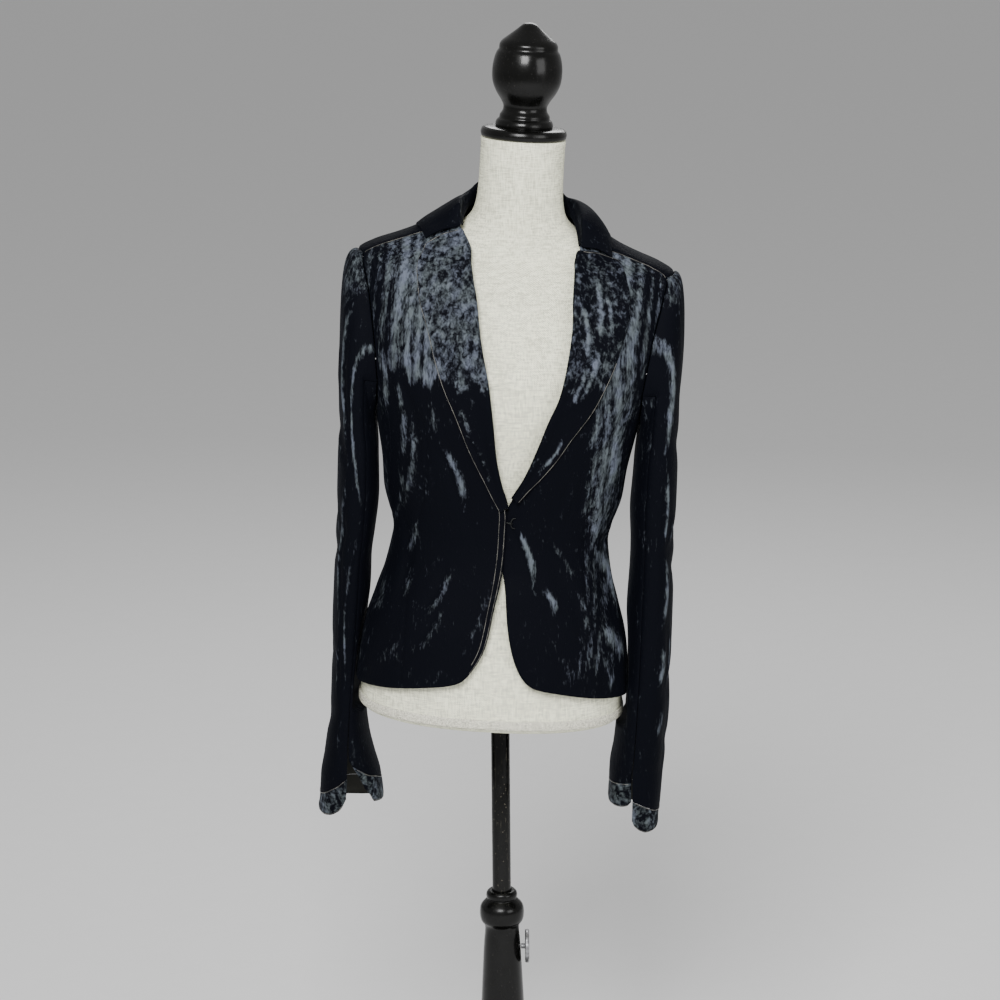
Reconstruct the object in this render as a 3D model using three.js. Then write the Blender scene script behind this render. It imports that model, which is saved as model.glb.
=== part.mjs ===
// A fitted velvet blazer on a limbless linen dress form with a turned pole stand.
// Millimetres, +Z up, the front faces -Y, the origin is under the centre of the base.
// The wearer's right is at -X. The form, its cap and the jacket lean as one on a plumb pole.
import * as THREE from 'three';

// Driving sizes.
const WALL = 2.0;                 // cloth thickness
const SEAM = 0.3;                 // room at every seam
const LAP = 0.9;                  // room under a lapel or a collar that lies on a panel
const LEAN = THREE.MathUtils.degToRad(3.7);
const FORM_FOOT = new THREE.Vector3(-11, 0, 640);   // underside of the torso in the stand's frame
const ROUND = 2.3;                // squareness of the torso sections
const POLE_R = 11;
const POLE_TOP = 634.2;
const POLE_FOOT = 200;
const BORE_R = 11.4;
const BASE_R = 172;
const BASE_H = 28;
const GATHERS = 8;                // gathers in each front's shoulder seam
const GATHER_DEPTH = 1.7;
const HEAD_GATHERS = 6;           // gathers in each sleeve head
const UNDERLAP = 4.5;             // how far the under front sinks below the over front
const SAG = 7;                    // how much lower the wearer's left shoulder hangs

const CLOTH = { color: 0x15171f, roughness: 0.62, metalness: 0.0 };
const CUFF_CLOTH = { color: 0x2a2e38, roughness: 0.42, metalness: 0.0 };
const LINEN = { color: 0xcfc9ba, roughness: 0.92, metalness: 0.0 };
const BRAID = { color: 0xbab4a4, roughness: 0.9, metalness: 0.0 };
const BLACK_WOOD = { color: 0x0d0c0c, roughness: 0.28, metalness: 0.0 };
const BLACK_METAL = { color: 0x121214, roughness: 0.32, metalness: 0.6 };
const STEEL = { color: 0x55585c, roughness: 0.35, metalness: 0.9 };

// Tables.
// Outer face of the jacket's body: height, half width, front and back reach.
const JACKET = [
  { z: 10, side: 161.0, front: 121, back: 124 },
  { z: 45, side: 159.0, front: 120, back: 123 },
  { z: 75, side: 155.5, front: 118, back: 120 },
  { z: 107, side: 149.5, front: 115, back: 114 },
  { z: 130, side: 143.0, front: 111, back: 109 },
  { z: 160, side: 134.0, front: 106, back: 101 },
  { z: 190, side: 127.0, front: 102, back: 94 },
  { z: 210, side: 125.5, front: 101, back: 92 },
  { z: 235, side: 130.5, front: 103, back: 92 },
  { z: 262, side: 137.5, front: 107, back: 94 },
  { z: 300, side: 142.5, front: 115, back: 98 },
  { z: 350, side: 151.5, front: 124, back: 104 },
  { z: 392, side: 163.0, front: 127, back: 108 },
  { z: 430, side: 171.0, front: 122, back: 111 },
  { z: 476, side: 176.5, front: 110, back: 110 },
  { z: 503, side: 179.0, front: 98, back: 106 },
  { z: 519, side: 181.0, front: 88, back: 100 },
  { z: 528, side: 179.0, front: 80, back: 95 },
  { z: 537, side: 165.0, front: 71, back: 89 },
  { z: 547, side: 139.0, front: 62, back: 82 },
  { z: 556, side: 118.0, front: 56, back: 76 },
  { z: 566, side: 101.0, front: 52, back: 71 },
  { z: 576, side: 88.0, front: 50, back: 68 },
  { z: 592, side: 78.0, front: 49, back: 66 },
];

// The linen torso, from its flat underside to the neck plate.
const TORSO = [
  { z: -4, side: 144.0, front: 99, back: 101 },
  { z: -1.5, side: 149.5, front: 104, back: 106 },
  { z: 4, side: 152.5, front: 107, back: 109 },
  { z: 20, side: 153.0, front: 108, back: 111 },
  { z: 60, side: 150.0, front: 108, back: 113 },
  { z: 100, side: 142.0, front: 104, back: 106 },
  { z: 150, side: 127.0, front: 96, back: 93 },
  { z: 205, side: 116.5, front: 89, back: 82 },
  { z: 255, side: 123.0, front: 94, back: 83 },
  { z: 310, side: 132.0, front: 105, back: 88 },
  { z: 365, side: 139.0, front: 116, back: 93 },
  { z: 400, side: 143.0, front: 117, back: 96 },
  { z: 440, side: 148.0, front: 109, back: 99 },
  { z: 480, side: 155.0, front: 95, back: 98 },
  { z: 505, side: 161.0, front: 84, back: 94 },
  { z: 520, side: 164.5, front: 74, back: 88 },
  { z: 528, side: 164.5, front: 64, back: 82 },
  { z: 533.8, side: 161.0, front: 58, back: 77 },
  { z: 538.6, side: 151.5, front: 57, back: 74 },
  { z: 543.8, side: 138.0, front: 54, back: 71 },
  { z: 548.3, side: 126.0, front: 50, back: 67 },
  { z: 553, side: 112.0, front: 48, back: 64 },
  { z: 557.5, side: 94.0, front: 46, back: 60 },
  { z: 562, side: 76.0, front: 45, back: 57 },
  { z: 567, side: 64.0, front: 44.5, back: 55 },
  { z: 572, side: 57.0, front: 44, back: 53.5 },
  { z: 583, side: 51.0, front: 43.5, back: 52 },
  { z: 600, side: 48.2, front: 43.5, back: 51 },
  { z: 625, side: 47.3, front: 44.5, back: 50 },
  { z: 650, side: 47.2, front: 45, back: 50 },
  { z: 662, side: 47.6, front: 45.5, back: 50 },
];

// The front edge and roll line of each front, from the round hem corner up to the neck,
// as outward reach from the centre and height.
const OVER_EDGE = [
  { out: 56.0, z: 51.8 }, { out: 40.0, z: 57.2 }, { out: 30.9, z: 65.0 }, { out: 21.5, z: 78.4 },
  { out: 13.4, z: 95.2 }, { out: 8.8, z: 113.1 }, { out: 4.2, z: 142.4 }, { out: -1.0, z: 170.0 },
  { out: -3.8, z: 205.0 }, { out: -4.0, z: 235.0 }, { out: -3.6, z: 254.0 }, { out: 1.5, z: 272.0 },
  { out: 8.0, z: 293.0 }, { out: 14.7, z: 322.0 }, { out: 20.5, z: 361.0 }, { out: 28.2, z: 405.5 },
  { out: 38.8, z: 450.0 }, { out: 48.5, z: 505.0 }, { out: 55.0, z: 545.0 }, { out: 66.0, z: 569.8 },
];
const UNDER_EDGE = [
  { out: 60.0, z: 51.5 }, { out: 43.5, z: 56.5 }, { out: 32.2, z: 66.5 }, { out: 22.6, z: 83.7 },
  { out: 15.8, z: 105.6 }, { out: 11.2, z: 130.0 }, { out: 6.8, z: 168.0 }, { out: 1.5, z: 192.0 },
  { out: -3.4, z: 216.0 }, { out: -3.0, z: 240.0 }, { out: 4.5, z: 259.0 }, { out: 12.3, z: 277.0 },
  { out: 24.3, z: 300.5 }, { out: 36.7, z: 335.5 }, { out: 46.1, z: 364.4 }, { out: 57.0, z: 393.4 },
  { out: 63.0, z: 425.0 }, { out: 67.0, z: 467.0 }, { out: 66.0, z: 500.0 }, { out: 66.0, z: 531.0 },
  { out: 69.0, z: 553.8 },
];
// The forward shoulder seam of each side, from the neck to the armhole.
const OVER_SHOULDER = [
  { out: 66.0, z: 569.8 }, { out: 92.0, z: 562.3 }, { out: 118.0, z: 551.6 }, { out: 145.0, z: 541.6 },
  { out: 171.0, z: 528.6 },
];
const UNDER_SHOULDER = [
  { out: 69.0, z: 553.8 }, { out: 90.0, z: 550.8 }, { out: 112.0, z: 544.5 }, { out: 140.0, z: 534.5 },
  { out: 168.0, z: 519.5 },
];
// The hem from the round corner to the side seam, and on round to the centre back.
const FRONT_HEM = [{ reach: 0.0, z: 0 }, { reach: 0.45, z: -2.5 }, { reach: 1.0, z: 0 }];
const HEM_SIDE = 31;
const HEM_BACK = 34;
// The seams of the side panel, as depth and height: to the front, and to the back.
const SIDE_SEAM = [
  { y: -34, z: 31 }, { y: -30, z: 110 }, { y: -26, z: 200 }, { y: -38, z: 258 },
  { y: -60, z: 318 }, { y: -66, z: 360 }, { y: -61, z: 388 },
];
const BACK_SEAM_LINE = [
  { y: 58, z: 33 }, { y: 52, z: 110 }, { y: 44, z: 200 }, { y: 49, z: 270 }, { y: 57, z: 335 },
  { y: 62, z: 392 },
];
// The armhole: its front edge up to the shoulder seam, its back edge from the same seam down
// to the back notch, and the scoop under the arm from that notch to the side seam.
const ARM_FRONT = [{ y: -61, z: 388 }, { y: -64, z: 425 }, { y: -57, z: 465 }, { y: -48, z: 492 }];
const ARM_BACK = [
  { y: 0, z: 528.6 }, { y: 24, z: 521 }, { y: 46, z: 502 }, { y: 61, z: 470 }, { y: 67, z: 430 },
  { y: 62, z: 392 },
];
const ARM_SCOOP = [
  { y: -61, z: 388 }, { y: -42, z: 359 }, { y: -14, z: 346 }, { y: 16, z: 345 }, { y: 44, z: 359 },
  { y: 62, z: 392 },
];
// Steps along each seam, the same for both pieces that meet there.
const SIDE_STEPS = [0, 0.05, 0.1, 0.16, 0.22, 0.3, 0.4, 0.52, 0.64, 0.76, 0.88, 1];
const ARM_FRONT_STEPS = [0, 0.17, 0.33, 0.48, 0.62, 0.74, 0.84, 0.92, 1];
const ARM_BACK_STEPS = [0, 0.1, 0.2, 0.3, 0.4, 0.5, 0.6, 0.7, 0.8, 0.9, 1];
const SCOOP_STEPS = [0, 0.17, 0.34, 0.5, 0.66, 0.83, 1];
const SHOULDER_STEPS = [0, 0.15, 0.3, 0.45, 0.6, 0.75, 0.88, 1];
const TUBE_STEPS = [0, 0.025, 0.055, 0.09, 0.15, 0.21, 0.28, 0.35, 0.42, 0.49, 0.56, 0.63, 0.7, 0.78, 0.86,
  0.93, 1];
// Height of the centre back against the way up the back panel.
const CENTRE_BACK = [
  { v: 0, z: 34 }, { v: 0.5, z: 400 }, { v: 0.62, z: 458 }, { v: 0.72, z: 520 }, { v: 0.8, z: 555 },
  { v: 1, z: 588 },
];
const BACK_NECK_Z = 588;

// Lapels: the outer edge from the break of the V up to the notch.
const OVER_LAPEL = [
  { out: 3.5, z: 257.0 }, { out: 20.7, z: 287.7 }, { out: 43.0, z: 330.0 }, { out: 63.1, z: 374.2 },
  { out: 78.1, z: 407.2 }, { out: 95.2, z: 460.0 }, { out: 105.3, z: 488.5 }, { out: 109.6, z: 516.0 },
  { out: 106.0, z: 534.0 }, { out: 101.0, z: 544.5 },
];
const UNDER_LAPEL = [
  { out: 14.5, z: 268.0 }, { out: 26.2, z: 284.0 }, { out: 39.9, z: 300.0 }, { out: 55.3, z: 321.0 },
  { out: 68.5, z: 343.0 }, { out: 78.7, z: 358.0 }, { out: 91.9, z: 378.3 }, { out: 109.4, z: 416.5 },
  { out: 119.0, z: 446.3 }, { out: 125.4, z: 474.6 }, { out: 126.2, z: 500.0 }, { out: 121.0, z: 522.0 },
  { out: 110.5, z: 537.5 },
];
// Inner edge of each lapel: where it turns over the roll line, from the break to the gorge.
const OVER_ROLL = [
  { out: -1.8, z: 262.0 }, { out: 8.0, z: 293.0 }, { out: 14.7, z: 322.0 }, { out: 20.5, z: 361.0 },
  { out: 28.2, z: 405.5 }, { out: 38.8, z: 450.0 }, { out: 48.5, z: 505.0 }, { out: 54.0, z: 541.0 },
  { out: 63.0, z: 562.5 },
];
const UNDER_ROLL = [
  { out: 11.0, z: 274.0 }, { out: 24.3, z: 300.5 }, { out: 36.7, z: 335.5 }, { out: 46.1, z: 364.4 },
  { out: 57.0, z: 393.4 }, { out: 63.0, z: 425.0 }, { out: 67.0, z: 467.0 }, { out: 66.0, z: 500.0 },
  { out: 66.0, z: 531.0 }, { out: 67.5, z: 546.0 },
];

// Collar, from its front end on the wearer's right, round the back, to the other front end:
// the fall's edge by turn in degrees and height on the body, the crest that it folds over,
// and the depth of the stand inside.
const COLLAR = [
  { turn: -47.5, ez: 549, cx: -66, cy: -45, cz: 571, stand: 1.5 },
  { turn: -66, ez: 556.5, cx: -66, cy: -29, cz: 578, stand: 2 },
  { turn: -90, ez: 558, cx: -64, cy: -8, cz: 584, stand: 4 },
  { turn: -114, ez: 560, cx: -60, cy: 18, cz: 593.5, stand: 10 },
  { turn: -138, ez: 565, cx: -49, cy: 43, cz: 605.5, stand: 22 },
  { turn: -160, ez: 569, cx: -28, cy: 60, cz: 614, stand: 26 },
  { turn: -180, ez: 571, cx: 0, cy: 66, cz: 615, stand: 27 },
  { turn: -200, ez: 571, cx: 28, cy: 60, cz: 610, stand: 25 },
  { turn: -222, ez: 570, cx: 49, cy: 43, cz: 599, stand: 20 },
  { turn: -246, ez: 567, cx: 60, cy: 18, cz: 586, stand: 7 },
  { turn: -270, ez: 565, cx: 66, cy: -8, cz: 577, stand: 2 },
  { turn: -292, ez: 560, cx: 69, cy: -32, cz: 568, stand: 1.5 },
  { turn: -315, ez: 545.5, cx: 71, cy: -53, cz: 555, stand: 1 },
];

// Sleeves: height, outer and inner edge from the centre, middle depth and half depth.
const SLEEVE_OVER = [
  { z: -142, out: 195, inn: 119, mid: 4, deep: 47 },
  { z: -97, out: 195, inn: 124, mid: 6, deep: 49 },
  { z: -70, out: 192, inn: 133, mid: 8, deep: 51 },
  { z: -45, out: 190, inn: 140, mid: 11, deep: 53 },
  { z: -10, out: 187.5, inn: 145, mid: 15, deep: 55 },
  { z: 50, out: 188.5, inn: 146, mid: 18, deep: 57 },
  { z: 110, out: 190, inn: 147, mid: 14, deep: 58 },
  { z: 165, out: 190, inn: 147, mid: 8, deep: 59 },
  { z: 205, out: 190, inn: 144, mid: 4, deep: 60 },
  { z: 250, out: 190.5, inn: 142, mid: 0, deep: 61 },
  { z: 300, out: 191.5, inn: 143, mid: -2, deep: 63 },
  { z: 345, out: 192.5, inn: 149, mid: 0, deep: 65 },
  { z: 392, out: 194.5, inn: 150, mid: 1, deep: 66 },
];
const SLEEVE_UNDER = [
  { z: -142, out: 203, inn: 147, mid: -2, deep: 47 },
  { z: -97, out: 206, inn: 145, mid: -1, deep: 49 },
  { z: -65, out: 206.3, inn: 144, mid: 0, deep: 51 },
  { z: -40, out: 206.4, inn: 146, mid: -2, deep: 53 },
  { z: 15, out: 207, inn: 148, mid: -6, deep: 55 },
  { z: 60, out: 206, inn: 150, mid: -6, deep: 57 },
  { z: 110, out: 204, inn: 151, mid: -4, deep: 58 },
  { z: 150, out: 203, inn: 151, mid: -2, deep: 59 },
  { z: 205, out: 200.5, inn: 150, mid: 0, deep: 60 },
  { z: 256, out: 199.5, inn: 147, mid: 0, deep: 61 },
  { z: 300, out: 198, inn: 147, mid: 0, deep: 63 },
  { z: 345, out: 196, inn: 150, mid: 0, deep: 65 },
  { z: 392, out: 194.5, inn: 151, mid: 1, deep: 66 },
];

// Cuffs, by the way round from the front vent outward: the seam to the sleeve and the low edge.
const CUFF_OVER = [
  { w: 0, top: -88, low: -112 }, { w: 0.02, top: -92, low: -122 }, { w: 0.05, top: -98, low: -130 },
  { w: 0.1, top: -105, low: -136 }, { w: 0.16, top: -112, low: -138 }, { w: 0.25, top: -117, low: -138 },
  { w: 0.4, top: -117, low: -139 }, { w: 0.55, top: -114, low: -138 }, { w: 0.66, top: -108, low: -133 },
  { w: 0.77, top: -98, low: -124 }, { w: 0.86, top: -88, low: -119 }, { w: 0.93, top: -84, low: -117 },
  { w: 0.97, top: -79, low: -112 }, { w: 1, top: -74, low: -102 },
];
const CUFF_UNDER = [
  { w: 0, top: -95, low: -118 }, { w: 0.02, top: -97, low: -126 }, { w: 0.05, top: -100, low: -131 },
  { w: 0.1, top: -104, low: -134 }, { w: 0.16, top: -108, low: -134 }, { w: 0.25, top: -111, low: -133 },
  { w: 0.4, top: -108, low: -131 }, { w: 0.55, top: -100, low: -125 }, { w: 0.66, top: -94, low: -118 },
  { w: 0.77, top: -85, low: -110 }, { w: 0.86, top: -79, low: -107 }, { w: 0.93, top: -77, low: -106 },
  { w: 0.97, top: -76, low: -104 }, { w: 1, top: -75, low: -98 },
];

// Largest creases of each panel as soft troughs: from and to in panel fractions
// (across, up), width and depth.
const OVER_FOLDS = [
  { au: 0.34, av: 0.52, bu: 0.16, bv: 0.34, wide: 0.045, deep: 1.6 },
  { au: 0.62, av: 0.62, bu: 0.56, bv: 0.44, wide: 0.05, deep: 2.2 },
  { au: 0.86, av: 0.40, bu: 0.60, bv: 0.22, wide: 0.06, deep: 2.6 },
  { au: 0.60, av: 0.16, bu: 0.74, bv: 0.33, wide: 0.05, deep: 1.8 },
];
const UNDER_FOLDS = [
  { au: 0.20, av: 0.40, bu: 0.42, bv: 0.20, wide: 0.05, deep: 2.2 },
  { au: 0.96, av: 0.36, bu: 0.70, bv: 0.16, wide: 0.05, deep: 2.6 },
  { au: 0.96, av: 0.26, bu: 0.78, bv: 0.08, wide: 0.045, deep: 2.2 },
  { au: 0.74, av: 0.62, bu: 0.80, bv: 0.42, wide: 0.05, deep: 2.0 },
];
const BACK_FOLDS = [
  { au: 0.30, av: 0.34, bu: 0.80, bv: 0.26, wide: 0.035, deep: 1.8 },
  { au: 0.42, av: 0.41, bu: 0.92, bv: 0.38, wide: 0.03, deep: 1.6 },
  { au: 0.55, av: 0.20, bu: 0.85, bv: 0.08, wide: 0.04, deep: 1.6 },
];
const SIDE_FOLDS = [
  { au: 0.0, av: 0.62, bu: 0.9, bv: 0.50, wide: 0.05, deep: 1.6 },
  { au: 0.1, av: 0.40, bu: 1.0, bv: 0.44, wide: 0.05, deep: 1.4 },
];
// Sleeve creases: height at the middle, rise across the sleeve, half height, depth.
const SLEEVE_FOLDS = [
  { z: 318, rise: 34, wide: 15, deep: 2.2 },
  { z: 232, rise: -26, wide: 13, deep: 2.6 },
  { z: 176, rise: 30, wide: 12, deep: 2.4 },
  { z: 62, rise: -30, wide: 14, deep: 2.0 },
  { z: -30, rise: 24, wide: 12, deep: 1.6 },
];

// Curves.
// A smooth reading of one column of a table against another.
function column(table, key, name) {
  const xs = table.map((row) => row[key]);
  const ys = table.map((row) => row[name]);
  const slopes = ys.map((y, i) => {
    if (i === 0 || i === ys.length - 1) return 0;
    const left = (y - ys[i - 1]) / (xs[i] - xs[i - 1]);
    const right = (ys[i + 1] - y) / (xs[i + 1] - xs[i]);
    return left * right > 0 ? (2 * left * right) / (left + right) : 0;
  });
  slopes[0] = (ys[1] - ys[0]) / (xs[1] - xs[0]);
  return (x) => {
    let i = 0;
    while (i < xs.length - 2 && x > xs[i + 1]) i += 1;
    const h = xs[i + 1] - xs[i];
    const t = Math.min(Math.max((x - xs[i]) / h, 0), 1);
    const t2 = t * t;
    const t3 = t2 * t;
    return ys[i] * (2 * t3 - 3 * t2 + 1) + slopes[i] * h * (t3 - 2 * t2 + t)
      + ys[i + 1] * (3 * t2 - 2 * t3) + slopes[i + 1] * h * (t3 - t2);
  };
}

function smooth(from, to, x) {
  const t = Math.min(Math.max((x - from) / (to - from), 0), 1);
  return t * t * (3 - 2 * t);
}

function softMax(a, b, blend) {
  return (a + b + Math.sqrt((a - b) ** 2 + blend * blend)) / 2;
}

function lerp(a, b, t) {
  return a + (b - a) * t;
}

// Sections round the body.
// The wearer's left shoulder hangs lower: how far a point at this reach and height sinks.
function sagAt(x, z) {
  return SAG * smooth(45, 105, x) * smooth(440, 520, z);
}

function sections(table) {
  const side = column(table, 'z', 'side');
  const front = column(table, 'z', 'front');
  const back = column(table, 'z', 'back');
  return {
    // turn 0 is the centre front, +90 degrees is at +X, 180 is the centre back
    at(turn, z) {
      const s = Math.sin(turn);
      const c = Math.cos(turn);
      const x = side(z) * Math.sign(s) * Math.abs(s) ** (2 / ROUND);
      const reach = c > 0 ? front(z) : back(z);
      const y = -reach * Math.sign(c) * Math.abs(c) ** (2 / ROUND);
      return new THREE.Vector3(x, y, z - sagAt(x, z));
    },
    turnAtX(x, z) {
      const ratio = Math.min(Math.abs(x) / side(z), 1);
      return Math.sign(x) * Math.asin(ratio ** (ROUND / 2));
    },
    turnAtY(y, z) {
      const reach = y < 0 ? front(z) : back(z);
      const ratio = Math.min(Math.abs(y) / reach, 1);
      const turn = Math.acos(ratio ** (ROUND / 2));
      return y < 0 ? turn : Math.PI - turn;
    },
    // half width of the section at a given depth
    widthAt(y, z) {
      const reach = y < 0 ? front(z) : back(z);
      const ratio = Math.min(Math.abs(y) / reach, 1);
      return side(z) * (1 - ratio ** ROUND) ** (1 / ROUND);
    },
  };
}

const body = sections(JACKET);

// A point of the body's outer face, moved out by lift.
function onBody(turn, z, lift) {
  const e = 0.004;
  const p = body.at(turn, z);
  const a = body.at(turn + e, z).sub(body.at(turn - e, z));
  const b = body.at(turn, z + 0.8).sub(body.at(turn, z - 0.8));
  const n = a.cross(b).normalize();
  return p.addScaledVector(n, lift);
}

// Patches.
const TURN_MM = 135;              // length of one radian round the body

function path(points) {
  const spline = new THREE.SplineCurve(points.map((p) => new THREE.Vector2(p[0] * TURN_MM, p[1])));
  spline.arcLengthDivisions = 400;
  return (t) => {
    const p = spline.getPointAt(Math.min(Math.max(t, 0), 1));
    return [p.x / TURN_MM, p.y];
  };
}

// One edge out of several stretches, each [path, from, to, reversed].
function chain(...stretches) {
  return (v) => {
    const found = stretches.find((part) => v <= part[2] + 1e-9) ?? stretches[stretches.length - 1];
    const t = Math.min(Math.max((v - found[1]) / (found[2] - found[1]), 0), 1);
    return found[0](found[3] ? 1 - t : t);
  };
}

function along(steps, from, to) {
  return steps.map((t) => from + (to - from) * t);
}

// Blend of four edges, each a path in turn and height.
function patch(bottom, top, left, right) {
  const c00 = bottom(0);
  const c10 = bottom(1);
  const c01 = top(0);
  const c11 = top(1);
  return (u, v) => [0, 1].map((k) => (1 - v) * bottom(u)[k] + v * top(u)[k]
    + (1 - u) * left(v)[k] + u * right(v)[k]
    - (1 - u) * (1 - v) * c00[k] - u * (1 - v) * c10[k] - (1 - u) * v * c01[k] - u * v * c11[k]);
}

function outPoints(table, side) {
  return table.map((row) => {
    const z = row.z + sagAt(row.out * side, row.z + SAG);
    return [body.turnAtX(row.out * side, z), z];
  });
}

function depthPoints(table, side) {
  return table.map((row) => [side * body.turnAtY(row.y, row.z), row.z]);
}

function trough(u, v, folds) {
  let sum = 0;
  for (const f of folds) {
    const du = f.bu - f.au;
    const dv = f.bv - f.av;
    const t = Math.min(Math.max(((u - f.au) * du + (v - f.av) * dv) / (du * du + dv * dv), 0), 1);
    const gap = Math.hypot(u - f.au - du * t, v - f.av - dv * t) / f.wide;
    const ends = Math.sin(Math.PI * Math.min(Math.max(t, 0.06), 0.94)) ** 0.5;
    sum -= f.deep * ends * Math.exp(-gap * gap);
  }
  return sum;
}

// Walls.
// rows: [{ v, us: [...] }]; place(u, v) gives the outer face. The inner face lies WALL inside.
function wall(rows, place, flip, thick = WALL) {
  const outer = [];
  const inner = [];
  const index = [];
  const e = 0.0015;
  for (const row of rows) {
    const ids = [];
    for (const u of row.us) {
      const p = place(u, row.v);
      const du = place(Math.min(u + e, 1), row.v).sub(place(Math.max(u - e, 0), row.v));
      const dv = place(u, Math.min(row.v + e, 1)).sub(place(u, Math.max(row.v - e, 0)));
      const n = du.cross(dv).normalize().multiplyScalar(flip ? 1 : -1);
      ids.push(outer.length);
      outer.push(p);
      inner.push(p.clone().addScaledVector(n, thick));
    }
    index.push(ids);
  }
  const count = outer.length;
  const tris = [];
  const put = (a, b, c) => (flip ? tris.push([a, c, b]) : tris.push([a, b, c]));
  for (let r = 0; r < rows.length - 1; r += 1) {
    const low = rows[r].us;
    const high = rows[r + 1].us;
    const a = index[r];
    const b = index[r + 1];
    let i = 0;
    let j = 0;
    while (i < low.length - 1 || j < high.length - 1) {
      const nextLow = i < low.length - 1 ? low[i + 1] : 9;
      const nextHigh = j < high.length - 1 ? high[j + 1] : 9;
      if (nextLow <= nextHigh) {
        put(a[i], a[i + 1], b[j]);
        i += 1;
      } else {
        put(a[i], b[j + 1], b[j]);
        j += 1;
      }
    }
  }
  const all = [];
  for (const [a, b, c] of tris) {
    all.push(a, b, c);
    all.push(a + count, c + count, b + count);
  }
  const first = index[0];
  const last = index[index.length - 1];
  const loop = [...first];
  for (let r = 1; r < index.length; r += 1) loop.push(index[r][index[r].length - 1]);
  for (let k = last.length - 2; k >= 0; k -= 1) loop.push(last[k]);
  for (let r = index.length - 2; r > 0; r -= 1) loop.push(index[r][0]);
  if (flip) loop.reverse();
  for (let k = 0; k < loop.length; k += 1) {
    const p = loop[k];
    const q = loop[(k + 1) % loop.length];
    all.push(q, p, p + count);
    all.push(q, p + count, q + count);
  }
  const geometry = new THREE.BufferGeometry();
  const flat = [...outer, ...inner].flatMap((p) => [p.x, p.y, p.z]);
  geometry.setAttribute('position', new THREE.Float32BufferAttribute(flat, 3));
  geometry.setIndex(all);
  return geometry;
}

function spread(count, from = 0, to = 1) {
  return Array.from({ length: count + 1 }, (_, i) => from + (to - from) * (i / count));
}

// A closed skin over rings of equal count, capped by flat fans.
function skin(rings) {
  const n = rings[0].length;
  const flat = rings.flat();
  const index = [];
  for (let r = 0; r < rings.length - 1; r += 1) {
    for (let k = 0; k < n; k += 1) {
      const a = r * n + k;
      const b = r * n + ((k + 1) % n);
      index.push(a, b, b + n);
      index.push(a, b + n, a + n);
    }
  }
  const low = flat.length;
  const high = low + 1;
  const middle = (ring) => ring.reduce((s, p) => s.add(p), new THREE.Vector3()).divideScalar(n);
  const points = [...flat, middle(rings[0]), middle(rings[rings.length - 1])];
  const top = (rings.length - 1) * n;
  for (let k = 0; k < n; k += 1) {
    const next = (k + 1) % n;
    index.push(low, next, k);
    index.push(high, top + k, top + next);
  }
  const geometry = new THREE.BufferGeometry();
  const numbers = points.flatMap((p) => [p.x, p.y, p.z]);
  geometry.setAttribute('position', new THREE.Float32BufferAttribute(numbers, 3));
  geometry.setIndex(index);
  return geometry;
}

function turned(profile, sides) {
  const points = profile.map((row) => new THREE.Vector2(row.r, row.z));
  return new THREE.LatheGeometry(points, sides).rotateX(Math.PI / 2);
}

// Assembly.
const group = new THREE.Group();
const leaning = new THREE.Group();
leaning.position.copy(FORM_FOOT);
leaning.rotation.y = LEAN;
group.add(leaning);

function add(parent, name, geometry, look) {
  const mesh = new THREE.Mesh(geometry, new THREE.MeshStandardMaterial(look));
  mesh.name = name;
  parent.add(mesh);
  return mesh;
}

// Seams of each side.
function seamsOf(shoulder, side) {
  const neckToArm = outPoints(shoulder, side);
  const end = neckToArm[neckToArm.length - 1];
  return {
    side,
    shoulder: path(neckToArm),
    sideSeam: path(depthPoints(SIDE_SEAM, side)),
    armFront: path([...depthPoints(ARM_FRONT, side), end]),
    armBack: path([end, ...depthPoints(ARM_BACK, side)]),
    armScoop: path(depthPoints(ARM_SCOOP, side)),
    backSeam: path(depthPoints(BACK_SEAM_LINE, side)),
    neck: neckToArm[0],
  };
}
const overSeams = seamsOf(OVER_SHOULDER, -1);
const underSeams = seamsOf(UNDER_SHOULDER, 1);

// Fronts.
const FRONT_ARM = 0.62;           // where the armhole starts up a front's outer edge
function frontPlace(edge, seams, folds, sunk) {
  const { side } = seams;
  const inner = outPoints(edge, side);
  const outer = chain([seams.sideSeam, 0, FRONT_ARM], [seams.armFront, FRONT_ARM, 1]);
  const start = inner[0];
  const foot = outer(0);
  const hem = FRONT_HEM.map((row) => [
    lerp(start[0], foot[0], row.reach), lerp(start[1], foot[1], row.reach) + row.z]);
  const map = patch(path(hem), seams.shoulder, path(inner), outer);
  return (across, up) => {
    const u = across * 0.9972;
    const v = up * 0.9976;
    const [turn, z] = map(u, v);
    const gather = smooth(0.8, 0.965, v) ** 1.4 * smooth(0.997, 0.978, v) * smooth(0.4, 0.5, u)
      * smooth(1.0, 0.97, u);
    const wave = 0.5 - 0.5 * Math.cos(((u - 0.42) / 0.58) * 2 * Math.PI * GATHERS);
    const shift = 0.3 * Math.sin(u * 17) + 0.7;
    const rim = smooth(0, 0.05, u) * smooth(1, 0.95, u) * smooth(0, 0.04, v);
    let lift = -GATHER_DEPTH * gather * wave * shift + trough(u, v, folds) * rim;
    if (sunk) {
      const x = body.at(turn, z).x * side;
      lift -= UNDERLAP * smooth(44, 7, x) * smooth(150, 185, z) * smooth(330, 285, z);
    }
    return onBody(turn, z, lift);
  };
}

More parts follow.
